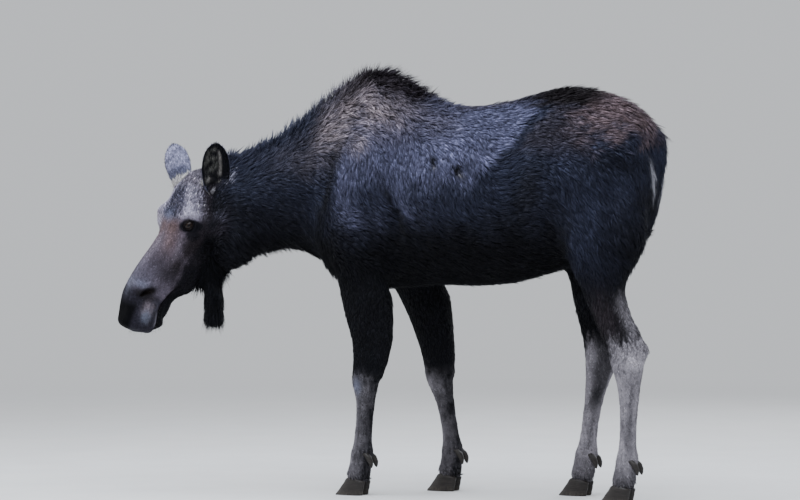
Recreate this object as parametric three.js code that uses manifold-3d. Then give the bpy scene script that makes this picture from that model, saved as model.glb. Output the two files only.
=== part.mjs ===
// A standing cow moose as a still, life-size model: millimetres, +Z up, facing -Y, her left side at +X.
// Every outer surface is that of the coat's tips. The flesh is modelled whole and parted by thin cuts.
import * as THREE from "three";
import { mergeVertices } from "three/addons/utils/BufferGeometryUtils.js";
import Module from "manifold-3d";

const wasm = await Module();
wasm.setup();

// Driving dimensions
const GAP = 0.4; // clearance between touching parts
const HEAD_TURN = 40; // degrees that the head is turned to her left
const HEAD_DROP = 68; // degrees that the face points below level
const HEAD_TWIST = 21; // degrees that the forehead is turned to her left about the line of the face
const POLL = [90, -1213, 1356]; // top of the head between the ears
const FORE_TRACK = 172; // a fore foot from the middle plane
const HIND_TRACK = 150;
const CORONET = 78; // height of the hooves
const EYE_RADIUS = 21;

const X_AXIS = new THREE.Vector3(1, 0, 0);
const Z_AXIS = new THREE.Vector3(0, 0, 1);
const radians = THREE.MathUtils.degToRad;

// The head's own frame: along the face, out of the forehead, and to her left.
const headTurned = new THREE.Matrix4()
  .makeRotationZ(radians(HEAD_TURN))
  .multiply(new THREE.Matrix4().makeRotationX(radians(HEAD_DROP)))
  .multiply(new THREE.Matrix4().makeRotationY(radians(HEAD_TWIST)));
const FACE = new THREE.Vector3(0, -1, 0).transformDirection(headTurned);
const BROW = new THREE.Vector3(0, 0, 1).transformDirection(headTurned);
const CHEEK = new THREE.Vector3(1, 0, 0).transformDirection(headTurned);

// A point of the head: down the face from the poll, out towards the brow, and to her left.
function onHead(down, out, left = 0) {
  return new THREE.Vector3(...POLL)
    .addScaledVector(FACE, down)
    .addScaledVector(BROW, out)
    .addScaledVector(CHEEK, left);
}

// Solids

function solid(geometry) {
  const bare = new THREE.BufferGeometry().setAttribute("position", geometry.getAttribute("position"));
  if (geometry.index) bare.setIndex(geometry.index);
  const merged = mergeVertices(bare, 1e-3);
  return new wasm.Manifold(
    new wasm.Mesh({
      numProp: 3,
      vertProperties: merged.getAttribute("position").array,
      triVerts: new Uint32Array(merged.index.array),
    }),
  );
}

function largest(made) {
  return made.decompose().sort((a, b) => b.volume() - a.volume())[0];
}

function joined(solids) {
  return solids.reduce((all, one) => all.add(one));
}

function geometryOf(made) {
  const mesh = made.getMesh();
  const geometry = new THREE.BufferGeometry();
  geometry.setAttribute("position", new THREE.BufferAttribute(new Float32Array(mesh.vertProperties), 3));
  geometry.setIndex(new THREE.BufferAttribute(new Uint32Array(mesh.triVerts), 1));
  geometry.computeVertexNormals();
  return geometry;
}

// A power of a sine or cosine that keeps its sign, for sections between round and square.
function power(value, exponent) {
  return Math.sign(value) * Math.abs(value) ** exponent;
}

/* A closed body along a spine. Each station has its place at, half width wide, reach above and below the
   spine, crest and keel, which narrow the section's top and bottom, and square, which fills its corners.
   across is the direction of wide; above is the spine's direction crossed with it, unless up is given.
   turn, in degrees, swings across about +Z. domes are the shares of the length that round off the ends. */
function loft(stations, { around = 20, along = 20, across = X_AXIS, up = null, domes = [0.1, 0.1], grow = 0 }) {
  const filled = stations.map((s) => ({ crest: 0, keel: 0, square: 0, turn: 0, ...s }));
  const spine = new THREE.CatmullRomCurve3(filled.map((s) => new THREE.Vector3(...s.at)));
  const sizes = new THREE.CatmullRomCurve3(filled.map((s) => new THREE.Vector3(s.wide, s.above, s.below)));
  const forms = new THREE.CatmullRomCurve3(filled.map((s) => new THREE.Vector3(s.crest, s.keel, s.square)));
  const turns = new THREE.CatmullRomCurve3(filled.map((s) => new THREE.Vector3(s.turn, 0, 0)));
  const geometry = new THREE.SphereGeometry(1, around, along);
  const place = geometry.getAttribute("position");
  for (let i = 0; i < place.count; i++) {
    const t = Math.acos(THREE.MathUtils.clamp(place.getY(i), -1, 1)) / Math.PI;
    const angle = Math.atan2(place.getZ(i), place.getX(i));
    const rounded = t < 0.5 ? Math.min(t / domes[0], 1) : Math.min((1 - t) / domes[1], 1);
    const dome = Math.sqrt(Math.max(0, 1 - (1 - rounded) ** 2));
    const at = spine.getPoint(t);
    const size = sizes.getPoint(t);
    const form = forms.getPoint(t);
    const side = across.clone().applyAxisAngle(Z_AXIS, radians(turns.getPoint(t).x));
    const above = up ? up.clone() : spine.getTangent(t).cross(side).normalize();
    const corner = 1 - 0.45 * form.z;
    const wide = power(Math.cos(angle), corner);
    const high = power(Math.sin(angle), corner);
    const narrowed = 1 - (high > 0 ? form.x : form.y) * high * high;
    const reach = high > 0 ? size.y : size.z;
    at.addScaledVector(side, wide * narrowed * (size.x + grow) * dome);
    at.addScaledVector(above, high * (reach + grow) * dome);
    place.setXYZ(i, at.x, at.y, at.z);
  }
  return solid(geometry).volume() > 0 ? geometry : flipped(geometry);
}

function flipped(geometry) {
  const index = geometry.index.array;
  for (let i = 0; i < index.length; i += 3) [index[i + 1], index[i + 2]] = [index[i + 2], index[i + 1]];
  return geometry;
}

/* Pushes a geometry's vertices out, or in where by is negative, round each named swelling. reach is the
   swelling's half size along X, Y and Z. */
function swell(geometry, swellings) {
  const place = geometry.getAttribute("position");
  const spot = new THREE.Vector3();
  const normals = roundNormals(geometry);
  for (let i = 0; i < place.count; i++) {
    spot.fromBufferAttribute(place, i);
    for (const { at, reach, by } of Object.values(swellings)) {
      const away =
        ((spot.x - at[0]) / reach[0]) ** 2 + ((spot.y - at[1]) / reach[1]) ** 2 + ((spot.z - at[2]) / reach[2]) ** 2;
      if (away < 4) spot.addScaledVector(normals[i], by * Math.exp(-1.5 * away));
    }
    place.setXYZ(i, spot.x, spot.y, spot.z);
  }
  return geometry;
}

// Normals that agree where a geometry's seam and poles hold several vertices at one place.
function roundNormals(geometry) {
  const key = (i) => place.getX(i).toFixed(2) + "," + place.getY(i).toFixed(2) + "," + place.getZ(i).toFixed(2);
  const place = geometry.getAttribute("position");
  geometry.computeVertexNormals();
  const normal = geometry.getAttribute("normal");
  const sums = new Map();
  for (let i = 0; i < place.count; i++) {
    const sum = sums.get(key(i)) ?? new THREE.Vector3();
    sums.set(key(i), sum.add(new THREE.Vector3().fromBufferAttribute(normal, i)));
  }
  return Array.from({ length: place.count }, (_, i) => sums.get(key(i)).clone().normalize());
}

function mirrored(swellings) {
  return Object.values(swellings).map((s) => ({ ...s, at: [-s.at[0], s.at[1], s.at[2]] }));
}

// Trunk, from the rump forward to the breast

function trunkStation(y, top, mid, bottom, wide, form = {}) {
  return { at: [0, y, mid], wide, above: top - mid, below: mid - bottom, ...form };
}

const TRUNK = [
  trunkStation(852, 1480, 1350, 1180, 120, { crest: 0.3 }),
  trunkStation(800, 1562, 1350, 1105, 165, { crest: 0.3 }),
  trunkStation(735, 1632, 1340, 1040, 200, { crest: 0.35 }),
  trunkStation(620, 1684, 1320, 1000, 228, { crest: 0.42 }),
  trunkStation(490, 1708, 1310, 960, 243, { crest: 0.45, square: 0.1 }),
  trunkStation(350, 1697, 1290, 915, 254, { crest: 0.45, square: 0.1 }),
  trunkStation(210, 1657, 1260, 878, 272, { crest: 0.4, square: 0.12 }),
  trunkStation(60, 1633, 1240, 864, 282, { crest: 0.4, square: 0.12 }),
  trunkStation(-110, 1656, 1230, 866, 272, { crest: 0.43, square: 0.1 }),
  trunkStation(-250, 1736, 1220, 852, 250, { crest: 0.5 }),
  trunkStation(-380, 1806, 1200, 846, 234, { crest: 0.56 }),
  trunkStation(-500, 1782, 1190, 856, 215, { crest: 0.58 }),
  trunkStation(-600, 1640, 1150, 880, 180, { crest: 0.58 }),
  trunkStation(-690, 1330, 1110, 950, 110, { crest: 0.3 }),
];

// Muscles and bones that show through the coat, on the left side
const TRUNK_SWELLINGS = {
  shoulderBlade: { at: [190, -400, 1400], reach: [120, 130, 200], by: 20 },
  upperArm: { at: [215, -480, 1130], reach: [110, 120, 150], by: 26 },
  foldBehindShoulder: { at: [250, -215, 1180], reach: [90, 55, 230], by: -16 },
  ribs: { at: [270, 50, 1170], reach: [100, 220, 190], by: 8 },
  flankHollow: { at: [250, 330, 1330], reach: [100, 90, 110], by: -14 },
  hipBone: { at: [190, 440, 1560], reach: [80, 70, 60], by: 16 },
  haunch: { at: [225, 640, 1330], reach: [110, 150, 200], by: 22 },
};

// Neck, from inside the shoulders to the back of the head

function neckStation(y, top, mid, bottom, wide, form = {}) {
  return { at: [form.x ?? 0, y, mid], wide, above: top - mid, below: mid - bottom, ...form };
}

const NECK = [
  neckStation(-330, 1560, 1230, 980, 150, { crest: 0.6, keel: 0.2 }),
  neckStation(-480, 1755, 1250, 930, 175, { crest: 0.6, keel: 0.25 }),
  neckStation(-600, 1724, 1270, 935, 168, { crest: 0.6, keel: 0.3 }),
  neckStation(-700, 1640, 1275, 978, 156, { crest: 0.58, keel: 0.35, turn: 3 }),
  neckStation(-800, 1552, 1265, 1012, 145, { x: 5, crest: 0.56, keel: 0.4, turn: 8 }),
  neckStation(-890, 1496, 1245, 1006, 135, { x: 12, crest: 0.54, keel: 0.4, turn: 14 }),
  neckStation(-985, 1455, 1225, 980, 126, { x: 22, crest: 0.5, keel: 0.4, turn: 20 }),
  neckStation(-1070, 1425, 1205, 928, 116, { x: 28, crest: 0.42, keel: 0.4, turn: 25 }),
  neckStation(-1140, 1385, 1185, 915, 104, { x: 34, crest: 0.3, keel: 0.3, turn: 30 }),
  neckStation(-1195, 1340, 1170, 960, 80, { x: 38, turn: 34 }),
];

// Head, from the nape to the tip of the muzzle. top and bottom are distances out of the face's line.

function headStation(down, top, bottom, wide, form = {}) {
  const middle = form.middle ?? (top + bottom) / 2;
  return { at: onHead(down, middle).toArray(), wide, above: top - middle, below: middle - bottom, ...form };
}

const HEAD = [
  headStation(-45, -25, -165, 62, { middle: -90 }),
  headStation(15, 6, -215, 86, { middle: -80 }),
  headStation(80, 20, -240, 94, { middle: -50, square: 0.3, keel: 0.25 }),
  headStation(150, 36, -255, 101, { middle: -40, square: 0.35, keel: 0.4 }),
  headStation(220, 42, -268, 111, { middle: -38, square: 0.35, keel: 0.42 }),
  headStation(290, 36, -272, 94, { middle: -45, square: 0.2, keel: 0.4 }),
  headStation(360, 54, -262, 76, { middle: -45, square: 0.15, keel: 0.4 }),
  headStation(435, 80, -228, 66, { middle: -35, square: 0.2, keel: 0.35 }),
  headStation(510, 98, -165, 64, { middle: -20, square: 0.3, keel: 0.2 }),
  headStation(580, 104, -118, 67, { middle: -5, square: 0.4 }),
  headStation(645, 96, -104, 67, { middle: -5, square: 0.45 }),
  headStation(700, 80, -88, 61, { middle: -8, square: 0.5 }),
  headStation(740, 56, -58, 48, { middle: -6, square: 0.4 }),
];

// Bones and lips that show, on the left: each is down the face, out and to the left, as in onHead.
const HEAD_SWELLINGS = {
  brow: { on: [212, 20, 96], reach: 48, by: 20 },
  orbitBelow: { on: [272, -30, 94], reach: 36, by: 7 },
  cheek: { on: [215, -150, 80], reach: 85, by: 8 },
  hollowBeforeEye: { on: [315, 5, 78], reach: 45, by: -9 },
  nostril: { on: [592, 48, 62], reach: 42, by: 8 },
  mouthCorner: { on: [505, -105, 48], reach: 36, by: -8 },
};

// Ears, eyes, bell and tail

// Each ear's own direction, and that of its opening: down the face, out and to the left.
const EARS = {
  left: { along: [-0.81, 0.45, 0.37], opening: [0, 0.62, 0.79] },
  right: { along: [-0.69, 0.26, -0.68], opening: [0.25, -0.71, -0.54] },
};

function earGeometry(name, grow = 0) {
  const LENGTH = 236;
  const side = name === "left" ? 1 : -1;
  const geometry = new THREE.SphereGeometry(1, 14, 12);
  const place = geometry.getAttribute("position");
  const root = onHead(50, -48, side * 84);
  const [along, facing] = [EARS[name].along, EARS[name].opening].map((way) =>
    onHead(...way).sub(onHead(0, 0)).normalize(),
  );
  const opening = facing.projectOnPlane(along).normalize();
  const across = new THREE.Vector3().crossVectors(along, opening).normalize();
  for (let i = 0; i < place.count; i++) {
    const t = (1 - place.getY(i)) / 2;
    const angle = Math.atan2(place.getZ(i), place.getX(i));
    const dome = Math.sqrt(Math.max(0, 1 - (1 - Math.min(1, t / 0.06, (1 - t) / 0.06)) ** 2));
    const leaf = (24 + 34 * Math.sin(Math.PI * Math.min(0.5, t / 1.2))) * Math.sqrt(1 - t ** 5) * dome;
    const wide = Math.cos(angle);
    const cup = 0.55 * leaf * wide * wide * (1 - 0.3 * t); // the edges curl towards the opening
    const thick = (6 + 22 * (1 - t) ** 3) * dome;
    const at = root
      .clone()
      .addScaledVector(along, t * LENGTH - 25)
      .addScaledVector(across, wide * (leaf + grow * dome))
      .addScaledVector(opening, cup + Math.sin(angle) * (thick + grow * dome) - 12);
    place.setXYZ(i, at.x, at.y, at.z);
  }
  return solid(geometry).volume() > 0 ? geometry : flipped(geometry);
}

function eyeBall(side, radius) {
  const geometry = new THREE.SphereGeometry(radius, 12, 9);
  const middle = onHead(238, -10, side * 92);
  return solid(geometry.translate(middle.x, middle.y, middle.z));
}

function bellGeometry(grow = 0) {
  const stations = [
    { at: [-10, -1172, 985], wide: 40, above: 46, below: 46 },
    { at: [-10, -1176, 930], wide: 40, above: 46, below: 48 },
    { at: [-10, -1178, 870], wide: 36, above: 42, below: 44 },
    { at: [-10, -1174, 805], wide: 32, above: 38, below: 40 },
    { at: [-10, -1170, 740], wide: 30, above: 38, below: 38 },
    { at: [-10, -1166, 672], wide: 26, above: 33, below: 33 },
  ].map((s) => ({ ...s, turn: 30 }));
  return loft(stations, { around: 12, along: 9, domes: [0.1, 0.08], grow });
}

function tailGeometry(grow = 0) {
  const stations = [
    { at: [0, 770, 1555], wide: 34, above: 24, below: 26 },
    { at: [0, 822, 1500], wide: 36, above: 24, below: 26 },
    { at: [0, 846, 1450], wide: 34, above: 20, below: 22 },
    { at: [0, 856, 1395], wide: 27, above: 16, below: 17 },
    { at: [0, 860, 1345], wide: 13, above: 9, below: 10 },
  ];
  return loft(stations, { around: 10, along: 8, domes: [0.15, 0.12], grow });
}

// Legs, from inside the trunk down to the coronets. Rows are forward Y, height, half width, and reach to the
// front and the back.

function legStations(side, track, rows) {
  return rows.map(([y, z, wide, front, back, x = track]) => ({
    at: [side * x, y, z],
    wide,
    above: front,
    below: back,
    square: 0.15,
  }));
}

const FORE_LEFT = legStations(1, FORE_TRACK, [
  [-470, 1330, 70, 110, 120, 135],
  [-450, 1130, 92, 150, 160, 150],
  [-415, 960, 92, 135, 135, 164],
  [-395, 850, 78, 118, 112],
  [-382, 750, 67, 105, 102],
  [-372, 660, 57, 88, 90],
  [-376, 590, 51, 76, 76],
  [-388, 505, 49, 64, 62],
  [-392, 445, 45, 55, 54],
  [-395, 385, 35, 42, 45],
  [-400, 300, 32, 39, 42],
  [-406, 225, 34, 40, 42],
  [-410, 170, 42, 45, 50],
  [-424, 115, 42, 42, 44],
  [-436, 60, 46, 46, 48],
]);

const FORE_RIGHT = legStations(-1, FORE_TRACK, [
  [-440, 1330, 70, 110, 120, 135],
  [-390, 1130, 92, 150, 160, 150],
  [-320, 960, 92, 135, 135, 164],
  [-274, 850, 78, 116, 112],
  [-244, 750, 67, 98, 100],
  [-220, 650, 57, 82, 82],
  [-208, 580, 51, 72, 74],
  [-198, 505, 49, 64, 62],
  [-188, 445, 45, 54, 54],
  [-174, 385, 35, 42, 44],
  [-158, 300, 32, 37, 40],
  [-146, 225, 33, 38, 40],
  [-138, 170, 42, 44, 48],
  [-150, 115, 42, 42, 44],
  [-162, 60, 46, 46, 48],
]);

const HIND_LEFT = legStations(1, HIND_TRACK, [
  [600, 1480, 60, 130, 140, 105],
  [618, 1300, 105, 205, 220, 118],
  [628, 1130, 110, 195, 205, 132],
  [636, 1010, 96, 162, 158, 142],
  [642, 920, 80, 128, 118],
  [655, 850, 66, 95, 96],
  [678, 780, 54, 84, 84],
  [706, 715, 47, 82, 84],
  [735, 655, 48, 88, 88],
  [748, 600, 49, 82, 84],
  [753, 545, 47, 70, 70],
  [755, 485, 42, 52, 55],
  [755, 415, 36, 42, 46],
  [752, 320, 33, 37, 40],
  [750, 230, 35, 38, 40],
  [748, 170, 43, 44, 50],
  [734, 115, 43, 42, 44],
  [722, 60, 46, 46, 48],
]);

const HIND_RIGHT = legStations(-1, HIND_TRACK, [
  [575, 1480, 60, 130, 140, 105],
  [560, 1300, 105, 205, 215, 118],
  [535, 1130, 110, 190, 200, 132],
  [508, 1010, 96, 160, 150, 142],
  [492, 920, 80, 126, 116],
  [490, 850, 66, 95, 95],
  [498, 780, 54, 84, 84],
  [514, 715, 47, 80, 84],
  [532, 650, 48, 84, 88],
  [536, 595, 49, 80, 84],
  [527, 540, 47, 68, 70],
  [514, 480, 42, 52, 55],
  [500, 410, 36, 42, 45],
  [486, 320, 33, 37, 40],
  [474, 230, 35, 38, 40],
  [466, 170, 43, 44, 50],
  [450, 115, 43, 42, 44],
  [437, 60, 46, 46, 48],
]);

const LEG_SHAPE = { around: 12, along: 22, domes: [0.08, 0.02] };

// Hooves: each foot has two claws, and two dewclaws behind the fetlock.

const CLAW = { length: 128, wide: 25, toeLean: 44, heelLean: 26, cleft: 5 };

function clawGeometry(x, y, turn, outer) {
  const geometry = new THREE.CylinderGeometry(1, 1, 1, 14, 2);
  const place = geometry.getAttribute("position");
  for (let i = 0; i < place.count; i++) {
    const up = place.getY(i) + 0.5;
    const radius = Math.min(1, Math.hypot(place.getX(i), place.getZ(i)));
    const angle = Math.atan2(place.getZ(i), place.getX(i));
    const toe = (1 + Math.cos(angle)) / 2; // 1 at the toe, 0 at the heel
    // A long leaf with a blunt point at the toe, its inner side flatter than its outer one.
    const bulge = outer * Math.sin(angle) > 0 ? 1 : 0.78;
    const wide = CLAW.wide * Math.sin(angle) * bulge * (1 - 0.35 * toe) * (1 - 0.1 * up);
    const long = Math.cos(angle) * (CLAW.length / 2) * (1 - 0.22 * up);
    const lean = (CLAW.toeLean * toe + CLAW.heelLean * (1 - toe)) * up;
    const spot = new THREE.Vector3(radius * wide, -radius * long + lean, up * (CORONET - GAP - 14 * (1 - toe)));
    spot.applyAxisAngle(Z_AXIS, turn);
    place.setXYZ(i, x + spot.x, y + spot.y, spot.z);
  }
  return solid(geometry).volume() > 0 ? geometry : flipped(geometry);
}

function dewclawGeometry(x, y, z, grow = 0) {
  const stations = [
    { at: [x, y - 20, z + 20], wide: 15, above: 14, below: 14 },
    { at: [x, y, z], wide: 17, above: 15, below: 15 },
    { at: [x, y + 12, z - 24], wide: 14, above: 12, below: 12 },
    { at: [x, y + 16, z - 46], wide: 7, above: 7, below: 7 },
  ];
  return loft(stations, { around: 8, along: 6, domes: [0.2, 0.2], grow });
}

// A foot stands on its two claws under the last station of its leg.
function foot(side, track, [, ankleY, ankleZ], [, soleY]) {
  const claws = [1, -1].map((outer) => {
    const x = side * track + outer * side * (CLAW.wide * 0.86 + CLAW.cleft);
    return solid(clawGeometry(x, soleY - 22, radians(outer * side * -4), outer * side));
  });
  const dewclawsAt = [1, -1].map((outer) => [side * track + outer * side * 27, ankleY + 46, ankleZ - 14]);
  return {
    claws,
    dewclaws: dewclawsAt.map((at) => solid(dewclawGeometry(...at))),
    dewclawRoom: joined(dewclawsAt.map((at) => solid(dewclawGeometry(...at, GAP)))),
  };
}

// Colours

function coat(colour, roughness = 0.75) {
  return new THREE.MeshStandardMaterial({ color: colour, roughness, metalness: 0 });
}

const MATERIALS = {
  body: coat(0x1b1a1f),
  head: coat(0x3a3230),
  leg: coat(0x2a272b),
  ear: coat(0x6f6a6c),
  eye: new THREE.MeshStandardMaterial({ color: 0x120c08, roughness: 0.08, metalness: 0 }),
  horn: new THREE.MeshStandardMaterial({ color: 0x1d1916, roughness: 0.45, metalness: 0 }),
};

// Assembly

const moose = new THREE.Group();

function addPart(name, made, material) {
  const mesh = new THREE.Mesh(geometryOf(largest(made)), material);
  mesh.name = name;
  moose.add(mesh);
}

// A box with the slab's own turn, used to part the flesh. Its near face passes through at.
function slab(at, outward, grow = 0) {
  const SIZE = 3000;
  const normal = new THREE.Vector3(...outward).normalize();
  const geometry = new THREE.BoxGeometry(SIZE, SIZE, SIZE).translate(0, 0, SIZE / 2 - grow);
  geometry.applyQuaternion(new THREE.Quaternion().setFromUnitVectors(Z_AXIS, normal));
  return solid(geometry.translate(...at));
}

const TRUNK_SHAPE = { around: 22, along: 28, up: Z_AXIS, domes: [0.12, 0.08] };
const trunkForm = swell(loft(TRUNK, TRUNK_SHAPE), [
  ...Object.values(TRUNK_SWELLINGS),
  ...mirrored(TRUNK_SWELLINGS),
]);
const NECK_SHAPE = { around: 18, along: 15, up: Z_AXIS, domes: [0.1, 0.1] };
const neckForm = loft(NECK, NECK_SHAPE);

function headForm(grow = 0) {
  const form = loft(HEAD, { around: 20, along: 27, across: CHEEK, up: BROW, domes: [0.08, 0.06], grow });
  const swellings = Object.values(HEAD_SWELLINGS).flatMap(({ on: [down, out, left], reach, by }) =>
    [1, -1].map((side) => ({ at: onHead(down, out, side * left).toArray(), reach: [reach, reach, reach], by })),
  );
  return swell(form, swellings);
}

const feet = {
  fore_left: { leg: FORE_LEFT, made: footOf(1, FORE_TRACK, FORE_LEFT) },
  fore_right: { leg: FORE_RIGHT, made: footOf(-1, FORE_TRACK, FORE_RIGHT) },
  hind_left: { leg: HIND_LEFT, made: footOf(1, HIND_TRACK, HIND_LEFT) },
  hind_right: { leg: HIND_RIGHT, made: footOf(-1, HIND_TRACK, HIND_RIGHT) },
};

function footOf(side, track, leg) {
  return foot(side, track, leg.at(-3).at, leg.at(-1).at);
}

const trunkSolid = solid(trunkForm);
const neckSolid = solid(neckForm);
const headSolid = solid(headForm());
const legSolids = Object.values(feet).map(({ leg }) => solid(loft(leg, LEG_SHAPE)));
const belowCoronet = slab([0, 0, CORONET], [0, 0, -1]);
const whole = joined([trunkSolid, neckSolid, headSolid, ...legSolids]).subtract(belowCoronet);

// The cut between head and neck runs from behind the ears down to the throat; the next one is before the shoulders.
const headCut = { at: [130, -1060, 1250], outward: [0.78, -0.62, 0] };
const neckCut = { at: [0, -690, 1150], outward: [0.05, -0.92, 0.22] };
const foreCut = { at: [-350, 828], back: { 1: -225, "-1": -125 }, rise: 0, spread: 0.85 };
const hindCut = { at: [420, 935], rise: 0.62, spread: 0.25 };

const room = joined([1, -1].map((side) => eyeBall(side, EYE_RADIUS + GAP)));
const head = whole.intersect(slab(headCut.at, headCut.outward)).subtract(room);
const behindHead = whole.subtract(slab(headCut.at, headCut.outward, GAP));
const neck = behindHead.intersect(slab(neckCut.at, neckCut.outward));
const body = behindHead.subtract(slab(neckCut.at, neckCut.outward, GAP));

// A leg's share of the body: below a sloping plane, on its own side of the middle plane, and in its own half.
function share(side, fore, grow) {
  const beside = slab([side * 22, 0, 0], [side, 0, 0], grow);
  const cut = fore ? foreCut : hindCut;
  const below = slab([side * 30, ...cut.at], [side * cut.spread, cut.rise, -1], grow);
  const half = fore ? slab([0, foreCut.back[side], 860], [0, -1, -0.45], grow) : slab([0, 130, 0], [0, 1, 0], grow);
  return beside.intersect(below).intersect(half);
}

const shares = [
  ["fore_left", 1, true],
  ["fore_right", -1, true],
  ["hind_left", 1, false],
  ["hind_right", -1, false],
];
let trunk = body;
for (const [name, side, fore] of shares) {
  const leg = body.intersect(share(side, fore, 0)).subtract(feet[name].made.dewclawRoom);
  trunk = trunk.subtract(share(side, fore, GAP));
  addPart("leg_" + name, leg, MATERIALS.leg);
  feet[name].made.claws.forEach((claw, i) => {
    addPart("hoof_" + name + (i ? "_inner" : "_outer"), claw, MATERIALS.horn);
  });
  feet[name].made.dewclaws.forEach((claw, i) => {
    addPart("dewclaw_" + name + (i ? "_inner" : "_outer"), claw, MATERIALS.horn);
  });
}

const grownHead = solid(headForm(GAP)).add(solid(loft(NECK, { ...NECK_SHAPE, grow: GAP })));
addPart("trunk", trunk, MATERIALS.body);
addPart("neck", neck, MATERIALS.body);
addPart("head", head, MATERIALS.head);
for (const [name, side] of [
  ["left", 1],
  ["right", -1],
]) {
  addPart("ear_" + name, solid(earGeometry(name)).subtract(grownHead), MATERIALS.ear);
  addPart("eye_" + name, eyeBall(side, EYE_RADIUS), MATERIALS.eye);
}
addPart("bell", solid(bellGeometry()).subtract(grownHead), MATERIALS.body);
addPart("tail", solid(tailGeometry()).subtract(solid(loft(TRUNK, { ...TRUNK_SHAPE, grow: GAP }))), MATERIALS.body);

// The origin is on the floor, under the middle of the whole animal.
const box = new THREE.Box3().setFromObject(moose);
const middle = box.getCenter(new THREE.Vector3());
moose.position.set(-middle.x, -middle.y, -box.min.z);

export default moose;
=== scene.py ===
import math

import bmesh
import bpy
import numpy as np
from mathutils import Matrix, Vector
from mathutils.kdtree import KDTree


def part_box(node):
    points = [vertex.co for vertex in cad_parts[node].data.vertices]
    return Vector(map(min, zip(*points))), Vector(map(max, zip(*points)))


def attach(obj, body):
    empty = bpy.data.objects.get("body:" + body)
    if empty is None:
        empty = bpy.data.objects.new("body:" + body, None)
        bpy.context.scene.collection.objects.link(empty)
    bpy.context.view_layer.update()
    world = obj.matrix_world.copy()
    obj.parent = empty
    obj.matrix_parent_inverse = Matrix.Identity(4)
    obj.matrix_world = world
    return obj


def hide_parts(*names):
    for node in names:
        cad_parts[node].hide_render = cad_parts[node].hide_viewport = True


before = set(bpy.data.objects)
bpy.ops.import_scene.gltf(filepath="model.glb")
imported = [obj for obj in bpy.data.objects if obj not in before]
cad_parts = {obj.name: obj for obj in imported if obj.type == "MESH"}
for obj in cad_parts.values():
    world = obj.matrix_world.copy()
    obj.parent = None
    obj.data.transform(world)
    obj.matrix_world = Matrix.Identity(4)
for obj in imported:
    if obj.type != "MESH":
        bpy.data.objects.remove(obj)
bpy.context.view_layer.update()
rng = np.random.default_rng(11)

# ---------------------------------------------------------------- sizes, in metres

HEAD_TURN, HEAD_DROP, HEAD_TWIST = (math.radians(d) for d in (40, 68, 21))
POLL = np.array([0.090, -1.213, 1.356])  # between the ears, from the point under the withers
EYE_RADIUS = 0.021
LID_THICKNESS = 0.0026
VOXEL = 0.0124
NEAR_FOOT_AHEAD = 0.4583  # of the middle of the body
FLESH = ("trunk", "neck", "head", "bell", "tail", "leg")
SLICE = 0.02  # the step in which widths and heights of the body are gathered
FORE_END = 0.15  # legs ahead of this are fore legs
LOCK_THICKNESS = 0.20  # of a lock's width
ROOT_SHADE = 0.50  # how bright a lock is at its root
HAIR_SHADE_ON_SKIN = 0.8  # how bright the skin is beside the hair over it: painted shade under the hair


def corner_arrays(name):
    return [np.array(c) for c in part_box(name)]


def middle_of(*names):
    return np.mean([np.mean(corner_arrays(n), axis=0) for n in names], axis=0)


# The body's own origin is on the floor in the middle plane; the fore feet say where it is.
near_fore, far_fore = (middle_of(f"hoof_fore_{s}_outer", f"hoof_fore_{s}_inner") for s in ("left", "right"))
ORIGIN = np.array([(near_fore[0] + far_fore[0]) / 2, near_fore[1] + NEAR_FOOT_AHEAD, 0.0])


def turned(axis, angle):
    c, s = math.cos(angle), math.sin(angle)
    a, b = [(1, 2), (2, 0), (0, 1)][axis]
    m = np.eye(3)
    m[a, a], m[a, b], m[b, a], m[b, b] = c, -s, s, c
    return m


HEAD = turned(2, HEAD_TURN) @ turned(0, HEAD_DROP) @ turned(1, HEAD_TWIST)
FACE, BROW, CHEEK = HEAD @ [0, -1, 0], HEAD @ [0, 0, 1], HEAD @ [1, 0, 0]
HEAD_AXES = np.stack([FACE, BROW, CHEEK])


def to_head(q):
    """Down the face, out to the brow and to the left, from the poll."""
    return (q - POLL) @ HEAD_AXES.T


def from_head(h):
    return POLL + np.asarray(h, float) @ HEAD_AXES


# ---------------------------------------------------------------- small helpers


def ease(x, low, high):
    """0 below low, 1 above high, smooth between; low may be above high."""
    t = np.clip((np.asarray(x, float) - low) / (high - low), 0, 1)
    return t * t * (3 - 2 * t)


def bump_at(q, centre, reach):
    """1 at the centre of a soft round patch, falling to 0 at about 1.5 times its reach."""
    away = ((q - np.asarray(centre)) / np.asarray(reach)) ** 2
    return np.exp(-1.5 * away.sum(-1))


def bumps(q, *rows):
    """The sum of soft round patches, each given by its height, centre and reach."""
    return sum(height * bump_at(q, centre, reach) for height, centre, reach in rows)


def bell_curve(x, middle, width, power=2):
    """1 at the middle, falling away to both sides."""
    return np.exp(-(((x - middle) / width) ** power))


def tiled(colour, q):
    return np.tile(np.asarray(colour, float), (len(q), 1))


def unit(v):
    return v / np.maximum(np.linalg.norm(v, axis=-1, keepdims=True), 1e-9)


def tangent(way, out):
    """The part of each way that lies along the skin, made one long."""
    return unit(way - out * (way * out).sum(1)[:, None])


def lumps(q, scale, seed, octaves=3):
    """Smooth noise from -1 to 1 about scale metres across: sums of waves in random directions."""
    waves = np.random.default_rng(seed)
    total = np.zeros(len(q))
    strength = 1.0
    for _ in range(octaves):
        for _ in range(5):
            way = waves.normal(size=3)
            way *= 2 * math.pi / (scale * np.linalg.norm(way)) * waves.uniform(0.7, 1.3)
            total += strength * np.sin(q @ way + waves.uniform(0, 6.28)) / 5
        scale, strength = scale / 2.1, strength * 0.6
    return np.clip(total * 1.1, -1, 1)


def mix(a, b, weight):
    weight = np.asarray(weight)[..., None]
    return np.asarray(a) * (1 - weight) + np.asarray(b) * weight


def mix_values(a, b, weight):
    return a * (1 - weight) + b * weight


def read(items, key, width, kind):
    flat = np.empty(len(items) * width, kind)
    items.foreach_get(key, flat)
    return flat.reshape(-1, width)


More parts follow.
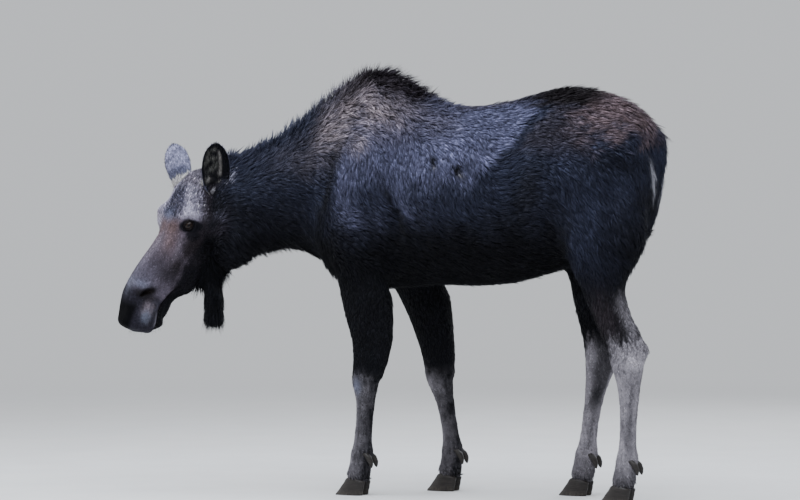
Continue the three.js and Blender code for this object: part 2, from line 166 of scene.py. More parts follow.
def put_points(mesh, points):
    mesh.vertices.foreach_set("co", np.ascontiguousarray(points, np.float32).ravel())
    mesh.update()


def triangles_of(mesh):
    mesh.calc_loop_triangles()
    return read(mesh.loop_triangles, "vertices", 3, np.int32)


def normals_of(points, triangles):
    a, b, c = (points[triangles[:, i]] for i in range(3))
    face = np.cross(b - a, c - a)
    total = np.zeros_like(points)
    for i in range(3):
        for k in range(3):
            total[:, k] += np.bincount(triangles[:, i], weights=face[:, k], minlength=len(points))
    return unit(total)


def relaxed(values, edges, rounds, weight=1.0):
    """values at the corners of a mesh, evened out between neighbours."""
    values = values.copy()
    a, b = edges[:, 0], edges[:, 1]
    n = len(values)
    degree = np.maximum(np.bincount(a, minlength=n) + np.bincount(b, minlength=n), 1)
    weight = np.broadcast_to(np.asarray(weight, float), (n,))
    for _ in range(rounds):
        for k in range(values.shape[1]):
            v = values[:, k]
            around = np.bincount(a, weights=v[b], minlength=n) + np.bincount(b, weights=v[a], minlength=n)
            values[:, k] += 0.5 * weight * (around / degree - v)
    return values


def mesh_from(name, points, faces):
    """A mesh of equal-sided faces from arrays."""
    mesh = bpy.data.meshes.new(name)
    sides = faces.shape[1]
    mesh.vertices.add(len(points))
    mesh.vertices.foreach_set("co", np.ascontiguousarray(points, np.float32).ravel())
    mesh.loops.add(len(faces) * sides)
    mesh.loops.foreach_set("vertex_index", np.ascontiguousarray(faces, np.int32).ravel())
    mesh.polygons.add(len(faces))
    mesh.polygons.foreach_set("loop_start", np.arange(0, len(faces) * sides, sides, dtype=np.int32))
    mesh.update(calc_edges=True)
    mesh.validate()
    return mesh


def joined(parts):
    """Meshes given as points, triangles and values of the points, made one."""
    starts = np.cumsum([0] + [len(part[0]) for part in parts])
    faces = np.vstack([part[1] + start for part, start in zip(parts, starts)])
    points, _, *values = (np.concatenate(column) for column in zip(*parts))
    return [points, faces, *values]


def link(name, data):
    made = bpy.data.objects.new(name, data)
    bpy.context.scene.collection.objects.link(made)
    return made


def evaluated(holder):
    """The mesh that a holder's modifier makes; the holder goes."""
    made = bpy.data.meshes.new_from_object(holder.evaluated_get(bpy.context.evaluated_depsgraph_get()))
    bpy.data.objects.remove(holder)
    return made


def shown(name, mesh, material):
    piece = link(name, mesh)
    mesh.materials.clear()
    mesh.materials.append(material)
    mesh.polygons.foreach_set("use_smooth", np.full(len(mesh.polygons), True))
    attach(piece, "root")
    return piece


def paint(mesh, name, colours):
    layer = mesh.attributes.new(name, "FLOAT_COLOR", "POINT")
    rgba = np.ones((len(colours), 4), np.float32)
    rgba[:, :3] = colours
    layer.data.foreach_set("color", rgba.ravel())


# ---------------------------------------------------------------- materials


class Sockets:
    """One shader output, which can be multiplied by another."""

    def __init__(self, shader, socket):
        self.shader, self.socket = shader, socket

    def __mul__(self, other):
        return self.shader.node("ShaderNodeMath", {"operation": "MULTIPLY"}, {0: self, 1: other})


class Shader:
    """A material under construction."""

    def __init__(self, name):
        self.material = bpy.data.materials.new(name)
        self.material.use_nodes = True
        self.tree = self.material.node_tree
        self.surface = self.tree.nodes["Principled BSDF"]

    def node(self, kind, settings=None, inputs=None, output=0):
        made = self.tree.nodes.new(kind)
        for key, value in (settings or {}).items():
            if key == "stops":
                ramp = made.color_ramp
                for element, (place, colour) in zip(ramp.elements, value):
                    element.position = place
                    element.color = (*colour, 1)
            else:
                setattr(made, key, value)
        self.feed(made, inputs or {})
        return Sockets(self, made.outputs[output])

    def feed(self, made, inputs):
        for key, value in inputs.items():
            socket = made.inputs[key]
            if isinstance(value, Sockets):
                self.tree.links.new(value.socket, socket)
            else:
                socket.default_value = value

    def attribute(self, name):
        return self.node("ShaderNodeAttribute", {"attribute_name": name})

    def place(self):
        return self.node("ShaderNodeTexCoord", output="Object")

    def noise(self, scale, detail, stretch=None):
        where = self.place()
        if stretch is not None:
            where = self.node("ShaderNodeMapping", inputs={0: where, 3: stretch})
        inputs = {"Vector": where, "Scale": scale, "Detail": detail, "Roughness": 0.55}
        return self.node("ShaderNodeTexNoise", inputs=inputs)

    def blend(self, a, b, factor, kind="MIX"):
        settings = {"data_type": "RGBA", "blend_type": kind}
        return self.node("ShaderNodeMix", settings, {0: factor, 6: a, 7: b}, output=2)

    def ramp(self, value, stops):
        return self.node("ShaderNodeValToRGB", {"stops": stops}, {0: value})

    def between(self, value, low, high, to_low=0.0, to_high=1.0):
        return self.node("ShaderNodeMapRange", inputs={0: value, 1: low, 2: high, 3: to_low, 4: to_high})

    def bump(self, height, strength, distance, under=None):
        inputs = {"Height": height, "Strength": strength, "Distance": distance}
        if under is not None:
            inputs["Normal"] = under
        return self.node("ShaderNodeBump", inputs=inputs)

    def finish(self, **inputs):
        self.feed(self.surface, {key.replace("_", " "): value for key, value in inputs.items()})
        return self.material


BACKDROP = (0.68, 0.70, 0.73)


def coat_shader(name, scale, detail, stops, specular):
    """A material coloured by the coat's attribute times a fine grain: its shader, grain and colour."""
    s = Shader(name)
    fine = s.noise(scale, detail)
    shade = s.ramp(fine, [(place, (grey,) * 3) for place, grey in stops])
    s.surface.inputs["Specular IOR Level"].default_value = specular
    return s, fine, s.blend(s.attribute("coat"), shade, 1.0, "MULTIPLY")


def make_hair_material():
    s, fine, tinted = coat_shader("coat_hair", 260.0, 2.0, [(0.25, 0.72), (0.75, 1.28)], 0.10)
    return s.finish(Base_Color=tinted, Roughness=s.between(fine, 0.2, 0.8, 0.48, 0.66))


def make_skin_material():
    s, fine, tinted = coat_shader("skin_and_undercoat", 420.0, 3.0, [(0.25, 0.6), (0.75, 1.3)], 0.05)
    rough = s.between(s.attribute("bare"), 0.0, 1.0, 0.72, 0.42)
    leather = s.bump(s.noise(60.0, 4.0), 0.25, 0.002, s.bump(fine, 0.5, 0.0012))
    return s.finish(Base_Color=tinted, Roughness=rough, Normal=leather)


def make_eye_material():
    s, _, tinted = coat_shader("eyeball", 900.0, 3.0, [(0.2, 0.8), (0.8, 1.2)], 0.12)
    s.surface.inputs["Coat Roughness"].default_value = 0.03
    return s.finish(Base_Color=tinted, Roughness=0.2, Coat_Weight=0.09)


def make_horn_material():
    s = Shader("hoof_horn")
    rings = s.noise(30.0, 3.0, (1.0, 1.0, 9.0))
    grain = s.noise(300.0, 3.0, (1.0, 1.0, 0.15))
    worn = s.node("ShaderNodeSeparateXYZ", inputs={0: s.place()}, output="Z")
    low = s.between(worn, 0.0, 0.03, 1.0, 0.0)
    colour = s.ramp(rings, [(0.3, (0.008, 0.0065, 0.006)), (0.7, (0.024, 0.020, 0.018))])
    dusty = s.blend(colour, (0.07, 0.060, 0.050, 1), low * s.between(grain, 0.4, 0.7))
    ridged = s.bump(grain, 0.3, 0.0006, s.bump(rings, 0.6, 0.0016))
    s.surface.inputs["Specular IOR Level"].default_value = 0.3
    return s.finish(Base_Color=dusty, Roughness=s.between(grain, 0.3, 0.7, 0.38, 0.6), Normal=ridged)


def make_floor_material():
    """Pale underfoot, and the backdrop's own tone further out, so that no edge shows."""
    s = Shader("pale_floor")
    soft = s.noise(3.0, 3.0)
    colour = s.ramp(soft, [(0.2, (0.60, 0.60, 0.60)), (0.8, (0.66, 0.66, 0.655))])
    material = s.finish(Base_Color=colour, Roughness=0.85)
    distance = s.node("ShaderNodeVectorMath", {"operation": "LENGTH"}, {0: s.place()}, output="Value")
    glow = s.node("ShaderNodeEmission", inputs={"Color": (*BACKDROP, 1), "Strength": 1.0})
    both = s.node("ShaderNodeMixShader", inputs={0: s.between(distance, 2.0, 9.0), 2: glow})
    s.tree.links.new(s.surface.outputs[0], both.socket.node.inputs[1])
    s.tree.links.new(both.socket, s.tree.nodes["Material Output"].inputs["Surface"])
    return material


# ---------------------------------------------------------------- markings

BLACK = np.array((0.0075, 0.0078, 0.0110))
SHEEN_BLUE = np.array((0.150, 0.155, 0.262))  # the painted cool sheen of the shoulder and loin, light reflected off glossy black hair
# dull bluish slate; over the upper body it is painted sheen from the light above
SLATE = np.array((0.030, 0.034, 0.061))
TAN = np.array((0.302, 0.253, 0.271))
RUSSET = np.array((0.182, 0.130, 0.141))
UMBER = np.array((0.022, 0.017, 0.020))  # the ridge of the hump and croup
ASH = np.array((0.285, 0.268, 0.300))  # lower legs
FROST = np.array((0.300, 0.280, 0.355))  # forehead and over the eye
BROWN = np.array((0.112, 0.075, 0.077))
DOVE = np.array((0.110, 0.092, 0.120))  # the nose and the sides of the muzzle
# the deepest black of hair and skin, also painted into hollows, folds and undersides as shade
DEEP_BLACK = np.array((0.0038, 0.0040, 0.0058))
CREAM = np.array((0.46, 0.44, 0.42))


def head_share(q):
    h = to_head(q)
    behind = h[:, 0] * 0.55 + h[:, 1] * 0.83  # falls behind the jaw
    side = q[:, 1] + 1.06 + (q[:, 0] - 0.13) * -1.25
    return ease(side, 0.03, -0.04) * ease(behind, -0.30, -0.2)


def leg_share(q):
    """1 on the legs below the trunk."""
    return ease(q[:, 2], 0.90, 0.80)


def side_spot(q, y, z, long, high, lean=0.0):
    """A soft patch on both flanks, lean metres further back for each metre higher."""
    return bump_at(np.stack([q[:, 1] - lean * (q[:, 2] - z), q[:, 2]], 1), (y, z), (long, high))


def patches(q, *rows):
    """The sum of soft patches on both flanks, each given by its share, place, size and lean."""
    return sum(share * side_spot(q, *place) for share, *place in rows)


def profile(x, *pairs):
    """A line through pairs of x and value."""
    return np.interp(x, *zip(*pairs))


def face_level(h):
    """Large on the front of the face, low on its sides and under the jaw."""
    return 0.788 * h[:, 1] - 0.616 * np.abs(h[:, 2])


def mouth_line(down):
    """How far out the slit of the mouth lies, for a distance down the face."""
    start, end = ((0.48, -0.125), (0.526, -0.083), (0.549, -0.066)), ((0.67, -0.062), (0.72, -0.077))
    return profile(down, *start, (0.59, -0.047), (0.626, -0.047), *end)


def along_hair(q, normal, scale, seed):
    """Noise from -1 to 1 drawn out along the lie of the coat."""
    way = lie(q, normal)
    steps = (-0.034, -0.020, -0.007, 0.007, 0.020, 0.034)
    total = sum(lumps(q + way * step, scale, seed, 2) for step in steps)
    return np.clip(total / 3, -1, 1)


def crest_height(y):
    return np.interp(
        y, [-1.2, -0.71, -0.575, -0.42, -0.31, -0.20, -0.09, 0.04, 0.25, 0.5, 0.8],
        [1.40, 1.56, 1.68, 1.775, 1.77, 1.70, 1.645, 1.62, 1.65, 1.70, 1.58],
    )


def body_markings(q, normal):
    x, y, z = q.T
    to_back, to_sky = normal[:, 1], normal[:, 2]
    medium, fine = lumps(q, 0.09, 2), lumps(q, 0.022, 3)
    streak, thin = along_hair(q, normal, 0.035, 4), along_hair(q, normal, 0.014, 14)
    wander = 0.03 * lumps(q, 0.20, 6, 2)
    colour = tiled(BLACK, q)

    def lay(paint, share, strength=1.0):
        nonlocal colour
        colour = mix(colour, paint, np.clip(share, 0, 1) * strength)

    # a dull slate sheen painted over the upper side, where the light from above falls, fading down
    lay(SLATE, ease(z + wander, 0.98, 1.36) * (0.75 - 0.22 * ease(y, -0.62, -0.72)))
    # the painted cool sheen, light reflected off the glossy hair of shoulder, saddle and loin, sharp at its
    # back edge where the lie turns
    back_edge = 0.275 + 0.55 * np.clip(z - 1.50, 0, 0.2) - 0.9 * np.clip(1.50 - z, 0, 1) ** 1.1 + wander * 0.6
    saddle = ease(y, back_edge, back_edge - 0.035) * ease(z + wander, 1.24, 1.40) * ease(y, -0.52, -0.40)
    saddle *= 1 - 0.6 * ease(y, -0.10, -0.24) * ease(z, 1.54, 1.66)
    lower = patches(q, (0.6, -0.20, 1.25, 0.18, 0.09, -0.2), (1.6, -0.46, 1.18, 0.065, 0.12, -0.1))
    sheen_share = np.clip(saddle * (0.78 + 0.22 * medium) + 0.38 * lower * (0.8 + 0.4 * medium), 0, 1)
    tone = 1 + patches(q, (0.85, -0.02, 1.47, 0.10, 0.08), (-0.20, -0.36, 1.43, 0.08, 0.09))
    tone = tone + patches(q, (0.9, 0.18, 1.46, 0.04, 0.12, 0.65))
    lay(SHEEN_BLUE * tone[:, None], sheen_share * (0.70 + 0.30 * streak + 0.25 * thin))
    # faint painted sheen on the hip, thigh, flank and elbow, and on the neck
    faint = patches(
        q, (0.8, 0.47, 1.40, 0.06, 0.07), (0.8, 0.59, 1.20, 0.045, 0.12), (0.3, 0.0, 1.22, 0.14, 0.07),
        (0.7, -0.45, 1.05, 0.07, 0.06), (0.4, -0.66, 1.28, 0.04, 0.14),
    )
    lay(SLATE * 1.15, faint, 0.9)
    # tan grizzle from the neck's base up the front of the hump, and greyer back along its side
    rise, fall = ((-0.90, 1.36), (-0.75, 1.43), (-0.60, 1.54)), ((-0.30, 1.61), (-0.15, 1.56), (0.0, 1.53))
    middle = profile(y, *rise, (-0.45, 1.62), *fall)
    height = profile(y, (-0.90, 0.05), (-0.70, 0.09), (-0.50, 0.125), (-0.30, 0.085), (0.0, 0.055))
    tan = bell_curve(z, middle, height) * ease(y, 0.06, -0.12) * (0.07 + 0.93 * ease(y, -0.74, -0.58))
    tan = tan * ease(y, -0.98, -0.80) * (1 - 0.35 * side_spot(q, -0.52, 1.55, 0.09, 0.05))
    tan = np.clip(tan * (0.85 + 0.25 * medium + 0.45 * streak + 0.35 * thin), 0, 1)
    tan = np.maximum(tan, side_spot(q, -0.455, 1.475, 0.07, 0.05) * (0.75 + 0.3 * streak + 0.3 * thin))
    colour = mix(colour, mix((0.115, 0.108, 0.150), TAN, ease(y, -0.16, -0.40)), tan * 0.88)
    # brown hair down the neck from the hump
    drab = patches(q, (0.16, -0.70, 1.37, 0.10, 0.06, -0.4), (0.08, -0.95, 1.39, 0.18, 0.04, -0.3))
    lay(TAN * 0.4, drab * (1 + 0.6 * streak + 0.6 * thin))
    # dark ridges of the hump, neck and back
    below = crest_height(y) - z + 0.025 * medium + 0.02 * streak
    cap = 0.035 * ease(y, -0.30, -0.46)
    thin_end = 0.078 * ease(y, -0.28, -0.14)
    dark_ridge = ease(below, 0.125 - cap - thin_end, 0.065 - cap - thin_end * 0.8)
    lay(UMBER, dark_ridge * ease(y, -0.62, -0.46) * ease(y, -0.02, -0.12), 0.90)
    # a slate sheen painted on the top of the neck's crest
    lay(SLATE * 0.9, crest_share(q, normal) * ease(y, -0.66, -0.80), 0.6)
    lay((0.060, 0.052, 0.070), ease(to_sky, 0.84, 0.97) * ease(y, -0.12, 0.0) * ease(y, 0.32, 0.22), 0.75)
    # painted shade in the trough between neck and shoulder, in other hollows and on the neck under the head,
    # and a painted highlight on the shoulder's edge
    lay(DEEP_BLACK * 1.4, 1.1 * side_spot(q, -0.580, 1.30, 0.030, 0.24, 0.19), 0.85 * ease(z, 1.54, 1.42))
    gloom = patches(q, (0.5, -0.575, 1.19, 0.05, 0.08), (0.6, 0.70, 1.40, 0.13, 0.05))
    lay(DEEP_BLACK * 1.5, gloom + 0.8 * side_spot(q, 0.82, 1.24, 0.06, 0.12))
    lay(DEEP_BLACK * 1.5, 1.2 * side_spot(q, -1.02, 1.175, 0.17, 0.065, -0.1), 0.65)
    lay(SHEEN_BLUE, side_spot(q, -0.500, 1.34, 0.045, 0.17, 0.10) * (0.62 + 0.25 * streak))
    # russet croup, dusky before it, its ridge darker
    dusky = ease(y, back_edge + 0.005, back_edge + 0.05) * ease(y, 0.62, 0.50) * ease(z, 1.38, 1.48)
    lay((0.038, 0.034, 0.047), dusky * (0.80 + 0.2 * streak))
    croup = ease(y + 0.05 * medium, 0.42, 0.58) * ease(z + 0.04 * medium - 0.14 * (y - 0.5), 1.41, 1.55)
    lay(RUSSET, croup * ease(y, 0.90, 0.80) * (0.84 + 0.30 * medium + 0.40 * streak + 0.32 * thin), 0.88)
    lay(UMBER * 0.45, ease(z + 0.02 * streak, 1.590, 1.640) * ease(y, 0.16, 0.30) * ease(y, 0.64, 0.50), 0.97)
    # the dark band behind the loin and down the flank
    lay(BLACK, 1.2 * side_spot(q, 0.31, 1.26, 0.075, 0.17, 0.25), 0.72 - 0.40 * ease(z, 1.34, 1.46))
    # painted shade in the folds behind the elbow and before the thigh, and painted highlights on the rolls by
    # the elbow
    fold = patches(q, (1, -0.262, 1.20, 0.022, 0.16, -0.38), (0.7, 0.40, 1.13, 0.035, 0.14, 0.3))
    lay(DEEP_BLACK, fold * 1.3, 0.78)
    roll = patches(q, (1, -0.212, 1.21, 0.022, 0.080, -0.45), (0.5, -0.34, 1.14, 0.03, 0.08, -0.2))
    lay(SHEEN_BLUE, roll * (0.30 + 0.2 * streak))
    # the black throat, belly, breast and upper legs, with painted shade on every surface that faces down
    under = ease(z + wander, 1.18, 1.02) * ease(y, -0.8, -0.6)
    lay(DEEP_BLACK, np.maximum(under, ease(to_sky, -0.2, -0.7)), 0.92)
    # a little slate sheen painted on the thigh and gaskin
    thigh = patches(
        q, (1.4, 0.545, 1.11, 0.045, 0.14, 0.1), (0.5, 0.62, 0.98, 0.14, 0.12), (0.6, 0.60, 1.12, 0.10, 0.12)
    )
    lay(SLATE * 0.88, thigh, 0.8)
    lay((0.030, 0.024, 0.029), side_spot(q, 0.66, 0.76, 0.07, 0.12, -0.2) * (1 + 0.5 * streak), 0.8)
    # small scars on the left side, each with a pale edge
    for at_y, at_z in ((-0.092, 1.408), (0.024, 1.376)):
        lay(CREAM * 0.6, bump_at(q, (0.27, at_y + 0.018, at_z - 0.024), (0.12, 0.014, 0.010)), 0.6)
        lay(DEEP_BLACK, 1.6 * bump_at(q, (0.27, at_y, at_z), (0.12, 0.018, 0.028)))
    # lower legs: the hind ones pale from the hock, with a pale line up the sinew; the fore ones brown grey
    fore = ease(y, 0.15, 0.05)
    ahead, behind = ease(to_back, -0.1, -0.7), ease(to_back, 0.0, 0.7)
    inward = ease(normal[:, 0] * np.sign(x), -0.1, -0.6)
    drift = 0.022 * medium + 0.014 * fine
    hind_edge = 0.655 - 0.050 * ahead + 0.02 * behind + drift
    hind_ash = ease(z, hind_edge + 0.045, hind_edge - 0.035)
    sinew_y = profile(z, (0.60, 0.800), (0.72, 0.765), (0.80, 0.735), (0.86, 0.725))
    sinew = bell_curve(y, sinew_y, 0.022) * ease(z, 0.62, 0.66) * ease(z, 0.90, 0.80) * (1 - inward)
    hind_ash = np.maximum(hind_ash, sinew * 0.62)
    hind_ash *= 1 - 0.80 * inward * ease(to_back, -0.35, 0.1) * ease(z, 0.33, 0.42)
    # painted shade in the groove behind each hind cannon
    groove = bell_curve(to_back, 0.35, 0.16) * ease(z, 0.52, 0.46) * ease(z, 0.16, 0.22)
    hind_ash *= (0.86 + 0.22 * medium + 0.10 * fine) * (1 - 0.5 * groove)
    hind_ash *= 1 - 0.45 * bump_at(q[:, 1:], (0.845, 0.615), (0.016, 0.040))
    fore_edge = 0.480 + 0.03 * ease(x * -1, 0.0, 0.1) + drift
    knee = bump_at(np.stack([to_back, z], 1), (-0.5, 0.455), (0.5, 0.035)) * fore
    fore_ash = 0.26 + 0.20 * ahead - 0.18 * behind + 0.30 * knee + 0.12 * medium + 0.10 * thin
    fore_ash = np.clip(fore_ash, 0, 1) * ease(z, fore_edge + 0.05, fore_edge - 0.05)
    ash = mix_values(hind_ash, fore_ash, fore) * (1 - 0.55 * ease(z, 0.19, 0.10) * (1 - fore))
    bright = 1 + 0.65 * side_spot(q, 0.79, 0.595, 0.05, 0.055)
    lay(ASH * bright[:, None], ash * (1 + 0.15 * streak + 0.2 * thin))
    # a cool highlight painted on the front of the near knee
    cool = bump_at(q, (0.24, -0.42, 0.455), (0.08, 0.035, 0.035)) * ease(to_back, 0.2, -0.4)
    lay((0.17, 0.18, 0.25), cool * 1.4, 0.8)
    # white under the tail
    vent = bump_at(np.stack([np.abs(x) - 0.28 * (z - 1.325), z], 1), (0.052, 1.330), (0.013, 0.072))
    lay((0.42, 0.42, 0.48), vent * ease(to_back, 0.2, 0.6) * 1.7, 0.9 * ease(y, 0.6, 0.7))
    return colour


def face_markings(q):
    h = to_head(q)
    down, out, left = h.T
    front = face_level(h)
    place = np.stack([down, front], 1)
    medium, fine = lumps(q, 0.05, 12), lumps(q, 0.015, 13)
    speckle = np.clip(0.5 + 0.45 * fine + 0.45 * lumps(q, 0.008, 5, 2), 0, 1)
    face = DOVE * (0.95 + 0.25 * medium + 0.5 * (speckle - 0.5))[:, None]

    def lay(paint, share, strength=1.0):
        nonlocal face
        face = mix(face, paint, np.clip(share, 0, 1) * strength)

    def spots(*rows):
        """Soft spots by their colour, place, size, plain and flecked shares, and strength."""
        for paint, at, size, plain, flecked, strength in rows:
            lay(paint, bump_at(place, at, size) * (plain + flecked * speckle), strength)

    def flecked_paint(paint, low, more):
        return np.asarray(paint) * (low + more * speckle[:, None])

    spots(
        ((0.150, 0.118, 0.150), (0.365, -0.040), (0.050, 0.022), 1, 0, 0.8),
        ((0.048, 0.040, 0.052), (0.435, 0.004), (0.065, 0.055), 0.8, 0.4, 0.85),
        ((0.014, 0.011, 0.012), (0.425, -0.072), (0.050, 0.030), 1.3, 0, 0.9),
        ((0.024, 0.020, 0.025), (0.470, -0.045), (0.048, 0.045), 1.2, 0, 0.85),
        # painted highlights along the edge of the face's front, the lower one over pale frosted hair on the
        # bridge
        ((0.215, 0.185, 0.215), (0.33, 0.062), (0.09, 0.032), 0.7, 0.5, 1),
        (FROST * 0.66, (0.43, 0.088), (0.10, 0.026), 0.6, 0.6, 1),
        (BROWN, (0.276, 0.004), (0.046, 0.038), 1.2, 0, 0.95),
        (BROWN * 1.05, (0.338, -0.010), (0.060, 0.040), 1, 0, 0.75),
    )
    # a bluish-white rim highlight painted along the far side of the face
    rim = bump_at(h, (0.272, 0.050, -0.066), (0.045, 0.070, 0.030))
    lay((0.400, 0.380, 0.470), rim * (0.7 + 0.7 * speckle), 0.85)
    # a painted highlight along the cheek's crest
    crest = bell_curve(front, -0.052, 0.008) * ease(down, 0.28, 0.33) * ease(down, 0.44, 0.38)
    lay((0.165, 0.142, 0.172), crest, 0.55)
    # frosted forehead, flecked with dark, greyer between the ears
    back = profile(down, (-0.02, -0.036), (0.06, -0.054), (0.12, -0.076), (0.185, -0.098), (0.24, -0.098))
    low = profile(front, (-0.10, 0.200), (-0.05, 0.205), (0.017, 0.228), (0.06, 0.255))
    frost = ease(down + 0.010 * medium + 0.006 * fine, low + 0.028, low - 0.026)
    behind = ease(front + 0.014 * fine, back + 0.024, back - 0.024) * ease(down, 0.36, 0.28)
    patchy = 2.2 * speckle - 0.28 + 0.6 * lumps(q, 0.030, 29) - 0.42 * ease(down, 0.175, 0.11)
    lay(mix(tiled((0.036, 0.033, 0.048), q), FROST, np.clip(patchy, 0, 1)), frost)
    crown = mix(tiled((0.040, 0.035, 0.048), q), (0.172, 0.155, 0.186), np.clip(1.7 * speckle - 0.45, 0, 1))
    lay(crown, ease(down + 0.01 * medium, 0.105, 0.055))
    spots(
        (FROST * 1.1, (0.115, -0.015), (0.024, 0.018), 0.3, 1.0, 0.85),
        ((0.045, 0.040, 0.055), (0.104, -0.048), (0.024, 0.018), 1.3, -0.6, 0.7),
    )
    width = 0.045 + 0.014 * medium + 0.018 * ease(down, 0.12, 0.19)
    stripe = bell_curve(left, profile(down, (0.10, -0.016), (0.16, -0.004), (0.22, 0.004)), width, 4)
    stripe = stripe * ease(down, 0.06, 0.12) * ease(down, 0.252, 0.214)
    lay((0.015, 0.015, 0.027), stripe * (1.7 - speckle), 0.95)
    lay((0.110, 0.118, 0.175), bump_at(h, (0.226, 0.03, -0.010), (0.028, 0.05, 0.040)), 0.75)
    spots((FROST * 1.15, (0.188, -0.054), (0.022, 0.036), 0.6, 0.7, 1))
    lay((0.020, 0.016, 0.021), behind, 0.95)
    spots(
        ((0.046, 0.045, 0.064), (0.158, -0.160), (0.035, 0.026), 0.7, 0.6, 0.9),
        # dusky below the eye
        ((0.019, 0.015, 0.018), (0.310, -0.108), (0.060, 0.040), 1.4, 0, 0.93),
        ((0.024, 0.019, 0.023), (0.345, -0.092), (0.050, 0.026), 1.2, 0, 0.85),
    )
    # a pale brow; the dark round the eye, with the shade under the brow painted in; the black jaw, with
    # painted shade under it
    level, ahead = 0.934 * down - 0.358 * front, 0.358 * down + 0.934 * front
    brow = bump_at(np.stack([level, ahead], 1), (0.212, 0.030), (0.016, 0.040))
    lay(FROST * 1.1, brow * (0.5 + 0.8 * speckle), 0.9)
    socket = ease(np.hypot((ahead - 0.020) / 0.054, (level - 0.252) / 0.029), 1.10, 0.80)
    pouch = ease(np.hypot((ahead - 0.013) / 0.032, (level - 0.290) / 0.024), 1.20, 0.70)
    lay(DEEP_BLACK * 1.6, np.maximum(socket, pouch * 0.9), 0.97)
    jaw = profile(
        down, (0.20, -0.112), (0.285, -0.135), (0.37, -0.112), (0.41, -0.100), (0.45, -0.100), (0.49, -0.093),
        (0.522, -0.094), (0.55, -0.082),
    )
    below_jaw = ease(front + 0.006 * fine, jaw + 0.016, jaw - 0.016)
    lay(DEEP_BLACK, below_jaw * ease(down, 0.20, 0.27) * ease(down, 0.66, 0.60), 0.97)
    spots(
        ((0.022, 0.019, 0.024), (0.371, -0.135), (0.030, 0.020), 1, 0, 0.6),
        ((0.018, 0.015, 0.019), (0.472, -0.080), (0.045, 0.014), 1, 0, 0.7),
        (DEEP_BLACK * 1.5, (0.205, -0.152), (0.034, 0.030), 1.2, 0, 0.9),
    )
    # the muzzle: dusky, its upper front frosted, a black pad below that, its front darkened with painted
    # shade, and a pale patch beside the pad
    dusk = ease(down, 0.40, 0.54) * ease(front, jaw - 0.01, jaw + 0.02)
    lay(flecked_paint((0.070, 0.066, 0.090), 0.55, 0.9), dusk * (1 - 0.75 * ease(front, 0.02, -0.05)), 0.8)
    spots(((0.150, 0.157, 0.218), (0.545, 0.040), (0.019, 0.046), 0.4, 0.8, 0.7))
    lay(flecked_paint((0.018, 0.017, 0.025), 0.6, 0.8), ease(down + 0.006 * fine, 0.555, 0.590), 0.95)
    pale_nose = flecked_paint((0.225, 0.186, 0.215), 0.45, 0.85) * (1 + 0.3 * medium[:, None])
    spots(
        ((0.150, 0.155, 0.200), (0.560, 0.096), (0.052, 0.026), 0.5, 0.9, 0.9),
        ((0.013, 0.011, 0.013), (0.582, 0.010), (0.024, 0.046), 1.4, 0, 0.9),
        (pale_nose, (0.634, -0.028), (0.034, 0.023), 1.4, 0, 0.95),
        ((0.140, 0.154, 0.212), (0.664, -0.030), (0.030, 0.020), 0.78, 1.04, 0.85),
    )
    beside = bell_curve(front, -0.042, 0.005) * ease(down, 0.645, 0.662) * ease(down, 0.702, 0.690)
    lay((0.15, 0.16, 0.21), beside * (0.3 + 0.9 * speckle), 0.6)
    # the front of the muzzle is black, with painted shade where the light from above does not reach
    lay(DEEP_BLACK * 0.5, ease(front + 0.004 * fine, 0.008, 0.030) * ease(down, 0.606, 0.655), 0.99)
    # the nostril's ring, its slot painted dark as the shade inside it, and the lips: a painted highlight
    # along the upper lip's edge, and the lower lip black with the shade under the upper lip painted in
    mouth = mouth_line(down)
    ring = bell_curve(np.hypot(down - 0.612, (front + 0.047) * 1.3), 0.018, 0.0055)
    lay((0.060, 0.058, 0.078), ring * ease(out, mouth, mouth + 0.008), 0.6)
    lip_edge = bell_curve(out, mouth + 0.012, 0.006) * ease(down, 0.62, 0.65) * ease(down, 0.70, 0.68)
    lay((0.19, 0.18, 0.22), lip_edge, 0.6)
    slot = bell_curve((down - 0.570) * 0.77 - (front + 0.0015) * 0.75, 0, 0.016)
    slot = slot * bell_curve((down - 0.570) * 0.63 + (front + 0.0015) * 0.77, 0, 0.042, 4)
    lay(DEEP_BLACK * 0.8, slot * 1.2, 0.95)
    lay(DEEP_BLACK * 0.9, ease(out, mouth + 0.005, mouth - 0.005) * ease(down, 0.50, 0.54), 0.97)
    # pale hair before the ear's root, dark under it
    spots((CREAM * 0.8, (0.046, -0.048), (0.020, 0.012), 0.4, 0.9, 0.8))
    under_ear = ((1.5, (0.072, -0.130), (0.034, 0.030)), (1.5, (0.120, -0.142), (0.050, 0.036)))
    lay(DEEP_BLACK * 1.5, bumps(place, *under_ear), 0.95)
    return face


def markings(q, normal):
    """The coat's colour at points of the body."""
    colour = mix(body_markings(q, normal), face_markings(q), head_share(q))
    tone = 1 + 0.10 * lumps(q, 0.022, 7) + 0.08 * lumps(q, 0.09, 8)
    streaks = 0.24 * along_hair(q, normal, 0.012, 15) + 0.14 * along_hair(q, normal, 0.03, 16)
    tone = tone * np.exp(streaks * (1 - 0.3 * head_share(q)))
    return np.clip(colour * tone[:, None], 0.001, 0.9)


# ---------------------------------------------------------------- the skin


def flesh_whole():
    """The parts of flesh, made one closed surface of even faces."""
    whole = bmesh.new()
    for name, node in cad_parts.items():
        if name.split("_")[0] not in FLESH:
            continue
        part = bmesh.new()
        part.from_mesh(node.data)
        bmesh.ops.remove_doubles(part, verts=part.verts, dist=1e-5)
        part.normal_update()
        for v in part.verts:
            v.co += v.normal * 0.0009
        copy = bpy.data.meshes.new("part_copy")
        part.to_mesh(copy)
        part.free()
        whole.from_mesh(copy)
        bpy.data.meshes.remove(copy)
    mesh = bpy.data.meshes.new("flesh")
    whole.to_mesh(mesh)
    whole.free()
    holder = link("flesh_holder", mesh)
    even = holder.modifiers.new("even", "REMESH")
    even.mode = "VOXEL"
    even.voxel_size = VOXEL
    return evaluated(holder)


